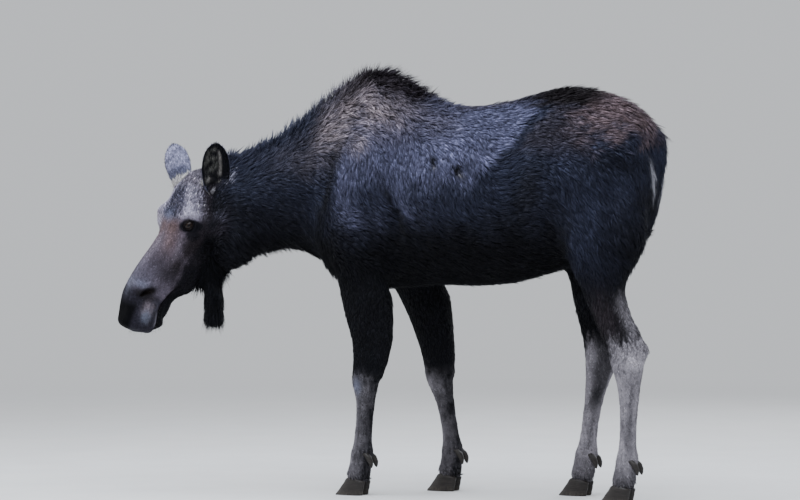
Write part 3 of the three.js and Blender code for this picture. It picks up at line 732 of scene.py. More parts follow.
def finer_where(mesh, wanted):
    """Divides the faces whose middle wanted picks."""
    work = bmesh.new()
    work.from_mesh(mesh)
    work.faces.ensure_lookup_table()
    centres = np.array([f.calc_center_median()[:] for f in work.faces])
    picked = wanted(centres - ORIGIN)
    faces = [f for f, w in zip(work.faces, picked) if w]
    edges = list({e for f in faces for e in f.edges})
    bmesh.ops.subdivide_edges(work, edges=edges, cuts=1, use_grid_fill=True)
    bmesh.ops.triangulate(work, faces=[f for f in work.faces if len(f.verts) > 4])
    work.to_mesh(mesh)
    work.free()


def coat_depth(q):
    """How far the skin lies under the coat's tips, apart from the mane."""
    trunk = np.where(q[:, 1] < -0.65, 0.016, 0.013)
    depth = mix_values(trunk, 0.0022 + 0.006 * ease(q[:, 2], 0.45, 0.85), leg_share(q))
    return mix_values(depth, 0.0045 - 0.003 * ease(to_head(q)[:, 0], 0.35, 0.55), head_share(q))


def mane_depth(q, top):
    """How far the skin lies below the top of the mane's hair."""
    along = ease(q[:, 1], 0.10, -0.25) * ease(q[:, 1], -1.12, -1.0)
    return 0.022 * along * ease(q[:, 2], top - 0.20, top - 0.01)


def eye_frame(side):
    """The eyeball's middle with the directions out of the head, along the lids and up to the brow."""
    middle = middle_of("eye_left" if side > 0 else "eye_right") - ORIGIN
    out_of = unit(0.10 * FACE + 0.44 * BROW + 0.89 * side * CHEEK)
    slit = 0.80 * FACE + 0.60 * BROW  # from the corner by the ear to the corner by the nose
    along = unit(slit - out_of * float(slit @ out_of))
    up = np.cross(out_of, along)
    return middle, out_of, along, up * np.sign(up @ BROW)


def lids(q, bare):
    """Draws the skin round each ball: a socket, two thick lids and the slit between them."""
    for side in (1, -1):
        middle, out_of, along, up = eye_frame(side)
        v = q - middle
        c, a, b = v @ out_of, v @ along, v @ up
        r = np.hypot(a, b)
        near = (r < 0.07) & (c > -0.03)
        ball = np.sqrt(np.maximum(EYE_RADIUS**2 - r**2, 0))
        lid = np.sqrt(np.maximum((EYE_RADIUS + LID_THICKNESS) ** 2 - r**2, 0))
        lid = np.maximum(lid, 0.012 * ease(r, 0.018, 0.034))
        # the brow hangs over the upper lid, and a fold rings each lid
        for height, level, width, end, start in (
            (0.0030, 0.021 - 9 * a * a, 0.0035, 0.030, 0.020),
            (-0.0022, 0.0168 - 12 * a * a, 0.0020, 0.024, 0.016),
            (-0.0018, 10 * a * a - 0.0160, 0.0022, 0.024, 0.016),
        ):
            lid = lid + height * bell_curve(b, level, width) * ease(np.abs(a), end, start)
        target = mix_values(c, lid, ease(r, 0.046, 0.022))
        half, high, low = 0.0198, 0.0126, 0.0108
        arch = np.sqrt(np.maximum(1 - (np.abs(a) / half) ** 2, 0)) + 1e-4
        inside = np.where(b > 0, b / high, -b / low) / arch
        gap = ease(inside, 1.16, 0.92) * (np.abs(a) < half)
        margin = bell_curve(inside, 1.12, 0.16) * (np.abs(a) < half * 1.05)
        target = mix_values(target, ball - 0.006, gap) + 0.0008 * margin
        q = q + out_of * (near * (target - c))[:, None]
        lid_skin = np.clip(gap + margin + ease(inside, 1.7, 1.2) * 0.8, 0, 1) * (r < 0.024)
        bare = np.maximum(bare, near * np.maximum(lid_skin, 0.9 * ease(r, 0.026, 0.021)))
    return q, bare


def sculpt_head(q, normal):
    """Moves points of the head's skin for its folds, nostrils and lips."""
    h = to_head(q)
    down, out, left = h.T
    side = np.abs(left)
    g = np.stack([down, out, side], 1)
    on = head_share(q)
    push = bumps(
        g,
        # brow ridge over the eye, and the bony rim below it
        (0.007, (0.205, 0.014, 0.098), (0.030, 0.018, 0.03)),
        (0.003, (0.276, -0.040, 0.095), (0.03, 0.014, 0.03)),
        # hollows above and before the eye
        (-0.007, (0.165, -0.035, 0.09), (0.026, 0.022, 0.03)),
        (-0.006, (0.305, 0.012, 0.075), (0.036, 0.024, 0.03)),
        # cheek crest and jaw muscle
        (0.006, (0.33, -0.052, 0.08), (0.08, 0.012, 0.03)),
        (0.009, (0.22, -0.16, 0.08), (0.075, 0.06, 0.06)),
        (-0.007, (0.345, -0.11, 0.07), (0.045, 0.03, 0.04)),
        # the middle furrow down the forehead and a low ridge on the nose
        (-0.003, (0.14, 0.05, 0.0), (0.07, 0.05, 0.012)),
        (0.003, (0.42, 0.08, 0.0), (0.12, 0.05, 0.02)),
        # swollen nostrils and upper lip, dimpled between; chin and throat
        (0.006, (0.540, 0.040, 0.058), (0.026, 0.028, 0.03)),
        (0.007, (0.650, 0.020, 0.06), (0.042, 0.030, 0.03)),
        (-0.004, (0.600, 0.020, 0.065), (0.014, 0.030, 0.03)),
        (0.012, (0.615, -0.105, 0.03), (0.050, 0.030, 0.05)),
        (0.018, (0.668, -0.095, 0.03), (0.026, 0.034, 0.05)),
        (0.012, (0.720, 0.045, 0.0), (0.022, 0.050, 0.06)),
        (0.018, (0.495, -0.175, 0.03), (0.080, 0.040, 0.05)),
        (-0.009, (0.670, 0.098, 0.0), (0.050, 0.030, 0.05)),
        # fuller beside the crown
        (0.014, (0.110, -0.020, 0.080), (0.050, 0.040, 0.035)),
    )
    push += bumps(
        h,
        # the far brow and the cheek below it
        (0.012, (0.262, 0.035, -0.072), (0.040, 0.045, 0.035)),
        (0.006, (0.218, 0.030, -0.092), (0.030, 0.035, 0.030)),
        # the crown, low between the ears and full before them
        (-0.024, (0.0, -0.025, 0.010), (0.045, 0.045, 0.060)),
        (0.007, (0.084, 0.045, -0.015), (0.035, 0.035, 0.050)),
    )
    vein = bell_curve(out, -0.045 - 0.45 * (down - 0.40), 0.005) * ease(down, 0.30, 0.34)
    push += 0.0022 * vein * ease(down, 0.50, 0.45) * ease(side, 0.03, 0.05)
    # folds of the cheek's skin behind the mouth
    crease = np.sin((down - 0.50) * 190 + out * 60)
    push += 0.0014 * crease * bump_at(g, (0.48, -0.06, 0.06), (0.055, 0.04, 0.03))
    # the mouth's line and its lips
    line = out - mouth_line(down)
    mouth = bell_curve(line, 0, 0.0050) * ease(down, 0.47, 0.52) * ease(down, 0.735, 0.715)
    push -= 0.012 * mouth * ease(side, 0.006, 0.02)
    push += 0.004 * bell_curve(line, 0.013, 0.009) * ease(down, 0.50, 0.58)
    push += 0.004 * bell_curve(line, -0.014, 0.010) * ease(down, 0.56, 0.62)
    # nostrils: comma-shaped pits across the side of the muzzle
    front = (face_level(h) + 0.0015) / 0.79
    along = -(down - 0.570) * 0.60 - front * 0.80
    across = (down - 0.570) * 0.80 - front * 0.60 - 6.0 * along**2 + 0.003
    beside = ease(side, 0.015, 0.035)
    pit = bell_curve(along, 0, 0.033, 4) * bell_curve(across, 0, 0.0120 + 0.12 * along) * beside
    rim = bell_curve(along, 0, 0.044, 4) * bell_curve(across, 0, 0.023) * beside
    push += 0.007 * rim - 0.030 * pit
    moved = q + normal * (push * on)[:, None]
    return lids(moved, np.clip(pit * 1.4 + 0.8 * mouth, 0, 1) * on)


def sculpt_body(q, normal):
    """Muscles, folds, joints and sinews under the coat."""
    x, y, z = q.T
    to_back, to_side = normal[:, 1], np.abs(normal[:, 0])
    g = np.stack([np.abs(x), y, z], 1)
    push = bumps(
        g,
        # shoulder blade's edge, point of the shoulder, elbow, and the throat above the bell
        (0.010, (0.20, -0.33, 1.42), (0.1, 0.05, 0.16)),
        (0.012, (0.20, -0.60, 1.08), (0.1, 0.06, 0.07)),
        (-0.010, (0.22, -0.50, 1.22), (0.1, 0.05, 0.08)),
        (0.010, (0.23, -0.29, 0.98), (0.1, 0.05, 0.06)),
        (-0.008, (0.25, -0.25, 1.16), (0.1, 0.035, 0.17)),
        (0.030, (0.0, -1.06, 0.95), (0.08, 0.07, 0.06)),
        # behind the last rib, hip bone, thigh and haunch, and the croup above the tail
        (-0.007, (0.25, 0.30, 1.34), (0.1, 0.05, 0.12)),
        (0.010, (0.18, 0.42, 1.57), (0.08, 0.05, 0.04)),
        (0.008, (0.22, 0.50, 1.12), (0.1, 0.10, 0.12)),
        (-0.008, (0.22, 0.70, 1.22), (0.1, 0.035, 0.16)),
        (0.016, (0.0, 0.83, 1.54), (0.20, 0.09, 0.08)),
    )
    # the bell's back edge
    bell = 0.024 * bump_at(q, (-0.01, -1.120, 0.905), (0.08, 0.055, 0.060))
    bell += 0.013 * bump_at(q, (-0.01, -1.145, 0.835), (0.08, 0.060, 0.070))
    push += 0.004 * bump_at(q, (-0.01, -1.165, 0.745), (0.10, 0.10, 0.040)) + bell * ease(to_back, -0.2, 0.5)
    ribs = np.sin((y + 0.12 * (z - 1.1)) * 2 * math.pi / 0.085)
    push += 0.0018 * ribs * bump_at(g, (0.27, 0.06, 1.18), (0.12, 0.17, 0.2))
    # sinews behind the cannons, and bony knees
    fore, hind = ease(y, 0.15, 0.05), ease(y, 0.15, 0.25)
    sinew = ease(z, 0.44, 0.38) * ease(z, 0.13, 0.2) * bell_curve(to_side, 0.86, 0.2)
    push -= 0.0045 * sinew * ease(to_back, -0.3, 0.1)
    push += 0.005 * bell_curve(z, 0.475, 0.035) * fore * ease(to_back, 0.2, -0.6)
    push += 0.006 * bell_curve(z, 0.50, 0.022) * fore * ease(to_back, 0.3, 0.8)
    # the point of the hock, the hollow before it, the flat of its joint and its wrinkles
    hock = 0.016 * bell_curve(z, 0.625, 0.032) * ease(to_back, 0.2, 0.8)
    hock -= 0.008 * bell_curve(z, 0.700, 0.050) * bell_curve(to_back, 0.45, 0.25)
    hock += 0.004 * bell_curve(z, 0.545, 0.030) * ease(to_side, 0.5, 0.9)
    wrinkle = np.sin(z * 2 * math.pi / 0.012 + 6 * normal[:, 0]) * bell_curve(z, 0.60, 0.030)
    push += (hock + 0.0008 * wrinkle * ease(to_back, -0.1, 0.5)) * hind
    # the forearms' thickness behind, and the thighs' back edge
    forearm = ease(z, 0.46, 0.56) * ease(z, 1.04, 0.90) * fore * ease(y, -0.80, -0.70)
    push += forearm * ease(to_back, 0.2, 0.8) * (0.009 + 0.006 * ease(x, 0.0, 0.1)) * leg_share(q)
    thigh = 0.036 * bump_at(g, (0.14, 0.81, 0.975), (0.14, 0.09, 0.125))
    thigh += 0.022 * bump_at(g, (0.14, 0.83, 1.08), (0.14, 0.08, 0.08))
    push += thigh * ease(to_back, 0.0, 0.6)
    # round ankles
    push += 0.005 * bell_curve(z, 0.175, 0.030)
    return q + normal * push[:, None]


def near_features(q):
    """The parts of the head that need the closest mesh: round the eyes, the nostrils and the mouth."""
    h = to_head(q)
    side = np.abs(h[:, 2])
    eye = (np.hypot(h[:, 0] - 0.238, h[:, 1] + 0.010) < 0.055) & (side > 0.05)
    return (head_share(q) > 0.5) & (eye | (h[:, 0] > 0.50))


def near_slits(q):
    h = to_head(q)
    side = np.abs(h[:, 2])
    eye = (np.hypot(h[:, 0] - 0.238, h[:, 1] + 0.010) < 0.034) & (side > 0.06)
    nostril = (np.hypot(h[:, 0] - 0.570, face_level(h) * 0.9) < 0.036) & (side > 0.015)
    return eye | nostril


def make_skin():
    mesh = flesh_whole()
    for wanted in (lambda q: head_share(q) > 0.3, near_features, near_slits):
        finer_where(mesh, wanted)
    points = read(mesh.vertices, "co", 3, np.float32).astype(float) - ORIGIN
    edges = read(mesh.edges, "vertices", 2, np.int32)
    z = points[:, 2]
    thick = ease(z, 0.72, 1.02) * (1 - head_share(points))
    tail_end = ease(points[:, 1], 0.82, 0.84) * ease(z, 1.18, 1.26)
    points = relaxed(points, edges, 5, 1.0)
    points = relaxed(points, edges, 28, thick * (1 - tail_end))
    # the ankles reach down into the hooves
    for left in (True, False):
        for ahead in (True, False):
            mine = ((points[:, 0] > 0) == left) & ((points[:, 1] < 0.15) == ahead) & (points[:, 2] < 0.17)
            foot = points[mine]
            low = foot[:, 2].min()
            reach = ease(foot[:, 2], 0.17, low)
            middle = foot[foot[:, 2] < 0.12].mean(0)
            flare = 1 + reach[:, None] * np.array([0.30, 0.24, 0.0])
            foot = middle * [1, 1, 0] + (foot - middle * [1, 1, 0]) * flare
            foot[:, 2] -= reach * (low - 0.058)
            points[mine] = foot
    return mesh, points, edges


# ---------------------------------------------------------------- the lie of the coat


def lie(q, normal):
    """The way the hair points along the skin, for points of the body."""
    x, y, z = q.T
    nx, ny, nz = normal.T
    zero = np.zeros(len(q))
    down = ease(nz, 0.75, 0.2)  # less on the flat of the back
    way = np.stack([0.25 * np.sign(x) * (1 - down), zero + 1.0, -0.30 * down], 1)

    def steer(share, *parts):
        nonlocal way
        way = mix(way, np.stack([zero + part for part in parts], 1), share)

    # the shoulder's and loin's hair hangs nearly straight down
    hang = ease(y, -0.60, -0.46) * ease(y, 0.24, 0.10) * ease(z, 1.12, 1.34) * ease(z, 1.74, 1.60)
    steer(hang * (0.3 + 0.7 * down), 0.3 * nx * (1 - down), 0.28, -1.0)
    # it fans over the hump: up its front, along its top and down behind
    turn = profile(y, (-0.80, 0.55), (-0.62, 0.30), (-0.48, -0.10), (-0.36, -0.75), (-0.25, -1.2))
    steer(ease(y, -0.86, -0.74) * ease(y, -0.20, -0.34) * ease(z, 1.38, 1.52), 0, np.cos(turn), np.sin(turn))
    # behind the loin it rises, then sweeps back over the croup
    rise = bump_at(q * [0, 1, 1], (0, 0.27, 1.38), (1, 0.09, 0.22))
    steer(np.clip(rise * 1.2, 0, 1) * down, 0, 0.85, 0.42)
    steer(ease(y, 0.36, 0.52) * ease(z, 1.55, 1.25), 0, 0.55, -0.85)
    # buttocks, breast, belly and legs
    steer(ease(ny, 0.35, 0.8) * ease(y, 0.5, 0.7), 0, 0.1, -1.0)
    steer(ease(y, -0.5, -0.62) * ease(z, 1.3, 1.15), 0, 0.2, -1.0)
    steer(ease(nz, -0.4, -0.8) * ease(z, 0.82, 0.9), 0, 1.0, 0)
    steer(ease(z, 1.02, 0.88) * ease(np.abs(nz), 0.85, 0.6), 0, 0.12, -1.0)
    # the neck: back, rising to the crest and falling to the throat
    climb = -0.16 + 0.75 * ease(nz, 0.1, 0.8) - 0.35 * ease(nz, -0.1, -0.8)
    steer(ease(y, -0.64, -0.80), -0.05, 0.95, climb)
    # the head: from the nose to the poll, and down over the cheeks
    head = head_share(q)
    h = to_head(q)
    up_face = -FACE - 0.5 * ease(h[:, 1], -0.06, -0.20)[:, None] * BROW
    round_eye = np.sign(h[:, 2])[:, None] * CHEEK * ease(np.abs(h[:, 2]), 0.02, 0.09)[:, None] * 0.2
    way = tangent(mix(way, up_face + round_eye, head), normal)
    swirl = (0.30 * lumps(q, 0.16, 21, 2) + 0.26 * lumps(q, 0.05, 22, 2)) * (1 - 0.5 * head)
    return unit(way * np.cos(swirl)[:, None] + np.cross(normal, way) * np.sin(swirl)[:, None])


def crest_share(q, normal):
    """1 along the ridge of the hump and the neck's crest, where the hair stands."""
    y = q[:, 1]
    along = ease(y, 0.00, -0.28) * ease(y, -1.20, -1.12)
    return along * ease(normal[:, 2], 0.35, 0.85) * ease(q[:, 2], 1.25, 1.36)


def near_eye(q):
    down, out, left = to_head(q).T
    away = bump_at(np.stack([down, out, np.abs(left)], 1), (0.236, -0.015, 0.105), (0.050, 0.050, 0.07))
    return np.clip(1.7 * away, 0, 1)


def hair_length(q, normal):
    y, z = q[:, 1], q[:, 2]
    length = np.full(len(q), 0.047)
    length += 0.006 * ease(y, -0.62, -0.8)
    length += 0.006 * ease(y, 0.25, 0.45) * ease(z, 1.4, 1.6)
    length += 0.006 * ease(normal[:, 2], -0.3, -0.9)
    length += 0.016 * crest_share(q, normal)
    length = length * (1 - 0.42 * ease(z, 1.08, 0.85))
    length = length * (1 - 0.50 * ease(z, 0.75, 0.5))
    length += 0.010 * ease(z, 0.13, 0.09)
    head = head_share(q)
    h = to_head(q)
    down, out = h[:, 0], h[:, 1]
    face = 0.013 - 0.0065 * ease(down, 0.30, 0.62) + 0.003 * ease(down, 0.10, 0.0)
    face = face + 0.020 * ease(out, -0.12, -0.18) * ease(down, 0.60, 0.45)
    face = face + 0.008 * ease(out, -0.08, -0.12) * ease(down, 0.45, 0.55)
    return mix_values(mix_values(length, face, head), 0.0062, near_eye(q))


def hair_lift(q, normal):
    """The angle between the hair and the skin, in radians."""
    head = head_share(q)
    h = to_head(q)
    body = 0.20 + 0.55 * crest_share(q, normal) + 0.10 * ease(normal[:, 2], -0.3, -0.9)
    body = body + 0.05 * lumps(q, 0.06, 31, 2) - 0.05 * ease(q[:, 2], 1.0, 0.8)
    body = body + 0.12 * ease(normal[:, 2], 0.5, 0.95) * ease(q[:, 1], 0.25, 0.4)
    face = 0.22 + 0.15 * ease(h[:, 1], -0.15, -0.25)
    return np.maximum(0.1, mix_values(body, face, head) * (1 - 0.5 * near_eye(q)))


def grizzle(q):
    """How much one lock's colour differs from the next."""
    body = 0.15 + 0.20 * bump_at(q * [0, 1, 1], (0, -0.58, 1.62), (1, 0.30, 0.20))
    face = 0.30 + 0.30 * ease(to_head(q)[:, 0], 0.26, 0.16)
    return mix_values(body, face, head_share(q))


# ---------------------------------------------------------------- locks of hair


def scatter(points, triangles, weight, count):
    """Evenly spread places on a mesh: the triangle and the three shares of its corners."""
    a, b, c = (points[triangles[:, i]] for i in range(3))
    area = 0.5 * np.linalg.norm(np.cross(b - a, c - a), axis=1) * weight
    run = np.cumsum(area)
    picks = (np.arange(count) + rng.random(count)) * run[-1] / count
    which = np.minimum(np.searchsorted(run, picks), len(triangles) - 1)
    r, s = rng.random(count), rng.random(count)
    flip = r + s > 1
    r[flip], s[flip] = 1 - r[flip], 1 - s[flip]
    return which, np.stack([1 - r - s, r, s], 1)


def at_places(values, triangles, which, shares):
    return np.einsum("nk,nkd->nd", shares, values[triangles[which]])


def sprouts(points, normal, triangles, weight, count):
    """Roots scattered over a skin, the directions out of it there, and how they were found."""
    found = scatter(points, triangles, weight, count)
    return at_places(points, triangles, *found), unit(at_places(normal, triangles, *found)), found


def path_point(hair, t):
    """Where each hair is at a share of its length."""
    rise = t * np.sin(hair["lift"]) + hair["arch"] * t * (1 - t)
    on = (t * np.cos(hair["lift"]))[:, None] * hair["way"] + rise[:, None] * hair["out"]
    on = on + (hair["sway"] * t * t)[:, None] * hair["side"]
    on[:, 2] -= hair["drop"] * t * t
    return hair["root"] + hair["length"][:, None] * on


def hair_at(root, out, way, length, lift, arch=0.12, drop=0.0):
    """Hairs of uneven length, lift and sway; their roots lie a little way under the skin."""
    n = len(root)
    return {
        "root": root - out * 0.0015,
        "out": out,
        "way": way,
        "side": unit(np.cross(out, way)),
        "length": length * np.exp(rng.normal(0, 0.20, n)),
        "lift": lift * np.exp(rng.normal(0, 0.22, n)),
        "arch": arch,
        "sway": rng.normal(0, 0.12, n),
        "drop": drop,
    }


def lock_faces(rings):
    """Closed three-sided locks: a root point, rings of three and a tip."""
    faces = [[0, 2, 1], [0, 3, 2], [0, 1, 3]]
    for r in range(rings - 1):
        low, high = 1 + 3 * r, 4 + 3 * r
        for i in range(3):
            j = (i + 1) % 3
            faces += [[low + i, low + j, high + j], [low + i, high + j, high + i]]
    tip, last = 1 + 3 * rings, 3 * rings - 2
    return np.array(faces + [[tip, last, last + 1], [tip, last + 1, last + 2], [tip, last + 2, last]])


def nearest(places, wanted):
    """For each wanted point, which of the places is nearest."""
    tree = KDTree(len(places))
    for i, place in enumerate(places):
        tree.insert(place, i)
    tree.balance()
    return np.fromiter((tree.find(point)[1] for point in wanted), np.int64, len(wanted))


def locks(hair, width, colours, uv, rings=(0.42,), pull=0.5, guides=None, tip_shade=1.25):
    """One mesh of locks: points, faces, colours and map places. Guides draw the tips together."""
    n = len(hair["root"])
    tip = path_point(hair, 1.0)
    draw = np.zeros_like(tip)
    tone = np.ones(n)
    if guides is not None:
        near = nearest(guides["root"], hair["root"])
        draw = (path_point(guides, 1.0)[near] - tip) * pull
        far = np.linalg.norm(draw, axis=1)
        draw *= np.minimum(1, hair["length"] * 0.6 / np.maximum(far, 1e-9))[:, None]
        tone = np.exp(rng.normal(0, 0.16, len(guides["root"])))[near]
    tone = np.exp(rng.normal(0, 1, n) * colours[1]) * tone
    tip = tip + draw
    direction = unit(tip - hair["root"])
    side = unit(np.cross(hair["out"], direction))
    over = np.cross(direction, side)
    count = 2 + 3 * len(rings)
    points = np.empty((n, count, 3))
    points[:, 0], points[:, -1] = hair["root"], tip
    shade = np.empty(count)
    shade[0], shade[-1] = ROOT_SHADE, tip_shade
    # a lock's corners lie a little apart on the map, so that none of its faces lacks area there
    place = np.repeat(uv[:, None, :], count, axis=1)
    place[:, 0, 1] -= 0.0015
    place[:, -1, 1] += 0.0015
    for r, t in enumerate(rings):
        first, last = 1 + 3 * r, 3 + 3 * r
        middle = path_point(hair, t) + draw * t**1.4
        half = (width * 0.5 * (1.0 if r == 0 else 1.1 * (1 - t)))[:, None]
        points[:, first] = middle + side * half
        points[:, first + 1] = middle + over * (half * 2 * LOCK_THICKNESS)
        points[:, last] = middle - side * half
        shade[first : last + 1] = ROOT_SHADE + (tip_shade - ROOT_SHADE) * min(1.0, t * 1.5)
        place[:, first, 0] -= 0.0012
        place[:, last, 0] += 0.0012
    tints = colours[0][:, None, :] * (shade * tone[:, None])[:, :, None]
    faces = (np.arange(n)[:, None, None] * count + lock_faces(len(rings))[None]).reshape(-1, 3)
    return points.reshape(-1, 3), faces, np.clip(tints.reshape(-1, 3), 0.0008, 0.9), place.reshape(-1, 2)


def coat_object(name, parts):
    """One piece of the coat from one or more sets of locks."""
    points, faces, colours, places = joined(parts)
    made = mesh_from(name, points + ORIGIN, faces)
    paint(made, "coat", colours)
    layer = made.uv_layers.new(name="OFBake")
    layer.data.foreach_set("uv", places[faces.ravel()].astype(np.float32).ravel())
    shown(name, made, hair)


def inset(*shares):
    """Map places from two shares, kept off the map's edges."""
    return 0.01 + 0.98 * np.stack(shares, 1)


def turn_share(ahead, across):
    """The angle of a direction as a share of one turn."""
    return np.arctan2(ahead, across) / (2 * math.pi) + 0.5


def round_section(q, middle_x, middle_z, low, high):
    """Map places from the angle round the body and the distance along it."""
    along = (q[:, 1] - low) / (high - low)
    return inset(turn_share(q[:, 0] - middle_x, q[:, 2] - middle_z), np.clip(along, 0, 1))


def head_section(q):
    h = to_head(q)
    return inset(turn_share(h[:, 2], h[:, 1] + 0.09), np.clip(h[:, 0] + 0.2, 0, 1))


def leg_section(q, centres):
    """Each leg has its own half of the map: the angle round it, and its height."""
    step = np.clip((q[:, 2] / SLICE).astype(int), 0, len(centres[0]) - 1)
    left = q[:, 0] > 0
    away = q[:, :2] - np.where(left[:, None], centres[0][step], centres[1][step])
    u = np.where(left, 0.01, 0.51) + 0.48 * turn_share(away[:, 1], away[:, 0])
    return np.stack([u, 0.01 + 0.98 * np.clip((q[:, 2] - 0.05) / 0.95, 0, 1)], 1)


def leg_centres(q):
    """The middle of each leg in every slice of height, left then right."""
    found = []
    slices = 55
    for left in (True, False):
        mine = q[(q[:, 0] > 0) == left]
        step = np.clip((mine[:, 2] / SLICE).astype(int), 0, slices - 1)
        sums = [np.bincount(step, weights=mine[:, k], minlength=slices) for k in (0, 1)]
        found.append(np.stack(sums, 1) / np.maximum(np.bincount(step, minlength=slices), 1)[:, None])
    return found


# ---------------------------------------------------------------- ears, eyes and long hair

EAR_LENGTH = 0.230
EAR_ROOTS = {1: (0.057, -0.074, 0.086), -1: (0.034, -0.030, -0.138)}
EAR_WAYS = {1: ((-0.85, 0.50, 0.12), (0.0, 0.58, 0.81)), -1: ((-0.70, 0.03, -0.71), (0.25, -0.71, -0.54))}


def closed_tube(rings, ends=None):
    """One closed skin over rings of equal size and two end points, by default in the outer rings' middles."""
    rows, around = rings.shape[:2]
    ends = (rings[0].mean(0), rings[-1].mean(0)) if ends is None else ends
    points = np.vstack([rings.reshape(-1, 3), *ends])
    i = np.arange((rows - 1) * around).reshape(-1, around)
    j = np.roll(i, -1, 1)
    low, high = (np.full(around, len(points) - n) for n in (2, 1))
    sides = np.stack([i, j + around, j, i, i + around, j + around], -1).reshape(-1, 3)
    first = np.stack([i[0], j[0], low], 1)
    last = np.stack([high, j[-1] + around, i[-1] + around], 1)
    faces = np.vstack([sides, first, last])
    a, b, c = (points[faces[:, n]] for n in range(3))
    if float((a * np.cross(b, c)).sum()) < 0:
        faces = faces[:, ::-1]
    return points, faces


def ear_mesh(side, rows=46, around=44):
    """A cupped leaf, rolled into a tube at its root: its points and faces, where each point lies along it,
    across it and inwards, and the directions it points and opens in."""
    root = from_head(EAR_ROOTS[side])
    along, facing = (unit(np.array(v) @ HEAD_AXES) for v in EAR_WAYS[side])
    opening = unit(facing - along * float(facing @ along))
    across = np.cross(along, opening)
    steps = np.sin(np.linspace(0, 1, rows) * math.pi / 2) ** 1.1
    t, angle = np.meshgrid(steps, np.arange(around) * 2 * math.pi / around, indexing="ij")
    t, wide, inner = t.ravel(), np.cos(angle).ravel(), np.sin(angle).ravel()
    dome = np.sqrt(np.clip(1 - (1 - np.minimum(1, np.minimum(t / 0.05, (1 - t) / 0.04))) ** 2, 0, 1))
    leaf = (0.021 + 0.040 * np.sin(math.pi * np.minimum(0.5, t / 1.15))) * np.sqrt(np.clip(1 - t**4.5, 0, 1))
    leaf = leaf * np.minimum(1, dome * 2) * (1.0 if side > 0 else 0.92) + 0.0004
    roll = 2.15 + (1.05 - 2.15) * ease(t, 0.10, 0.52)
    turn = wide * roll
    radius = leaf / np.sin(np.minimum(roll, math.pi / 2))
    thick = np.where(inner > 0, 0.0016, 0.0022 + 0.012 * (1 - t) ** 3) * dome
    ripple = 0.0016 * np.sin(9 * t + 2.5 * wide) * (inner > 0) * dome
    ribs = 0.0022 * np.cos(wide * 9.5) * np.maximum(inner, 0) * ease(t, 0.95, 0.5) * dome
    curve = radius * (1 - np.cos(turn)) * 0.8
    inward = np.cos(turn)[:, None] * opening - np.sin(turn)[:, None] * across
    length = EAR_LENGTH * (1.0 if side > 0 else 0.82)
    # how far the tube goes back into the head
    reach = 0.025 + (0.0 if side > 0 else 0.050) * ease(t, 0.24, 0.0)
    p = root + along * (t * length - reach)[:, None] + across * (radius * np.sin(turn))[:, None]
    p = p + opening * (curve - 0.010)[:, None] + inward * (inner * thick + ribs + ripple)[:, None]
    points, faces = closed_tube(p.reshape(rows, around, 3))
    shape = np.vstack([np.stack([t, wide, inner], 1), [[0, 0, 0], [1, 0, 0]]])
    return points, faces, shape, along, opening


def ear_colours(shape, q):
    """Grizzled grey behind; inside a dark hollow with pale hair from its edges, and a black rim."""
    t, wide, inner = shape.T
    fine, coarse = lumps(q, 0.016, 41), lumps(q, 0.040, 42)
    grey = np.clip(0.42 + 0.75 * fine + 0.5 * coarse, 0, 1)
    back = mix(tiled((0.10, 0.10, 0.15), q), (0.29, 0.29, 0.42), grey)
    back = mix(back, SLATE, ease(t, 0.42, 0.14) * 0.7)
    back = mix(back, CREAM * 0.9, ease(t, 0.125, 0.090) * (0.70 + 0.3 * coarse))
    haze = ease(wide, -0.92, -0.70) * ease(wide, 0.25, 0.0) * ease(t, 0.34, 0.46) * ease(t, 0.95, 0.84)
    haze = np.clip(haze * (0.55 + 0.9 * coarse + 0.5 * fine), 0, 1)
    inside = mix(tiled(DEEP_BLACK * 1.6, q), (0.085, 0.085, 0.080), haze)
    stripe = bell_curve(wide, 0.30 - 1.2 * (t - 0.62) ** 2, 0.095) * ease(t, 0.30, 0.42) * ease(t, 0.88, 0.76)
    inside = mix(inside, CREAM * 0.9, np.clip(stripe * (0.8 + 0.4 * fine), 0, 1) * 0.9)
    low_tuft = bumps(np.stack([wide, t], 1), (1, (-0.55, 0.27), (0.30, 0.07)), (1, (0.25, 0.20), (0.2, 0.04)))
    inside = mix(inside, CREAM * 0.7, np.clip(low_tuft * (0.8 + 0.6 * coarse), 0, 1) * 0.8)
    colour = mix(back, inside, ease(inner, -0.05, 0.25))
    rim = ease(np.abs(wide), 0.84, 0.95) * ease(t, 0.15, 0.3) * ease(inner, -0.6, -0.2)
    rim = np.maximum(rim, ease(t, 0.93, 0.985))
    return mix(colour, DEEP_BLACK, np.clip(rim, 0, 1) * 0.9)


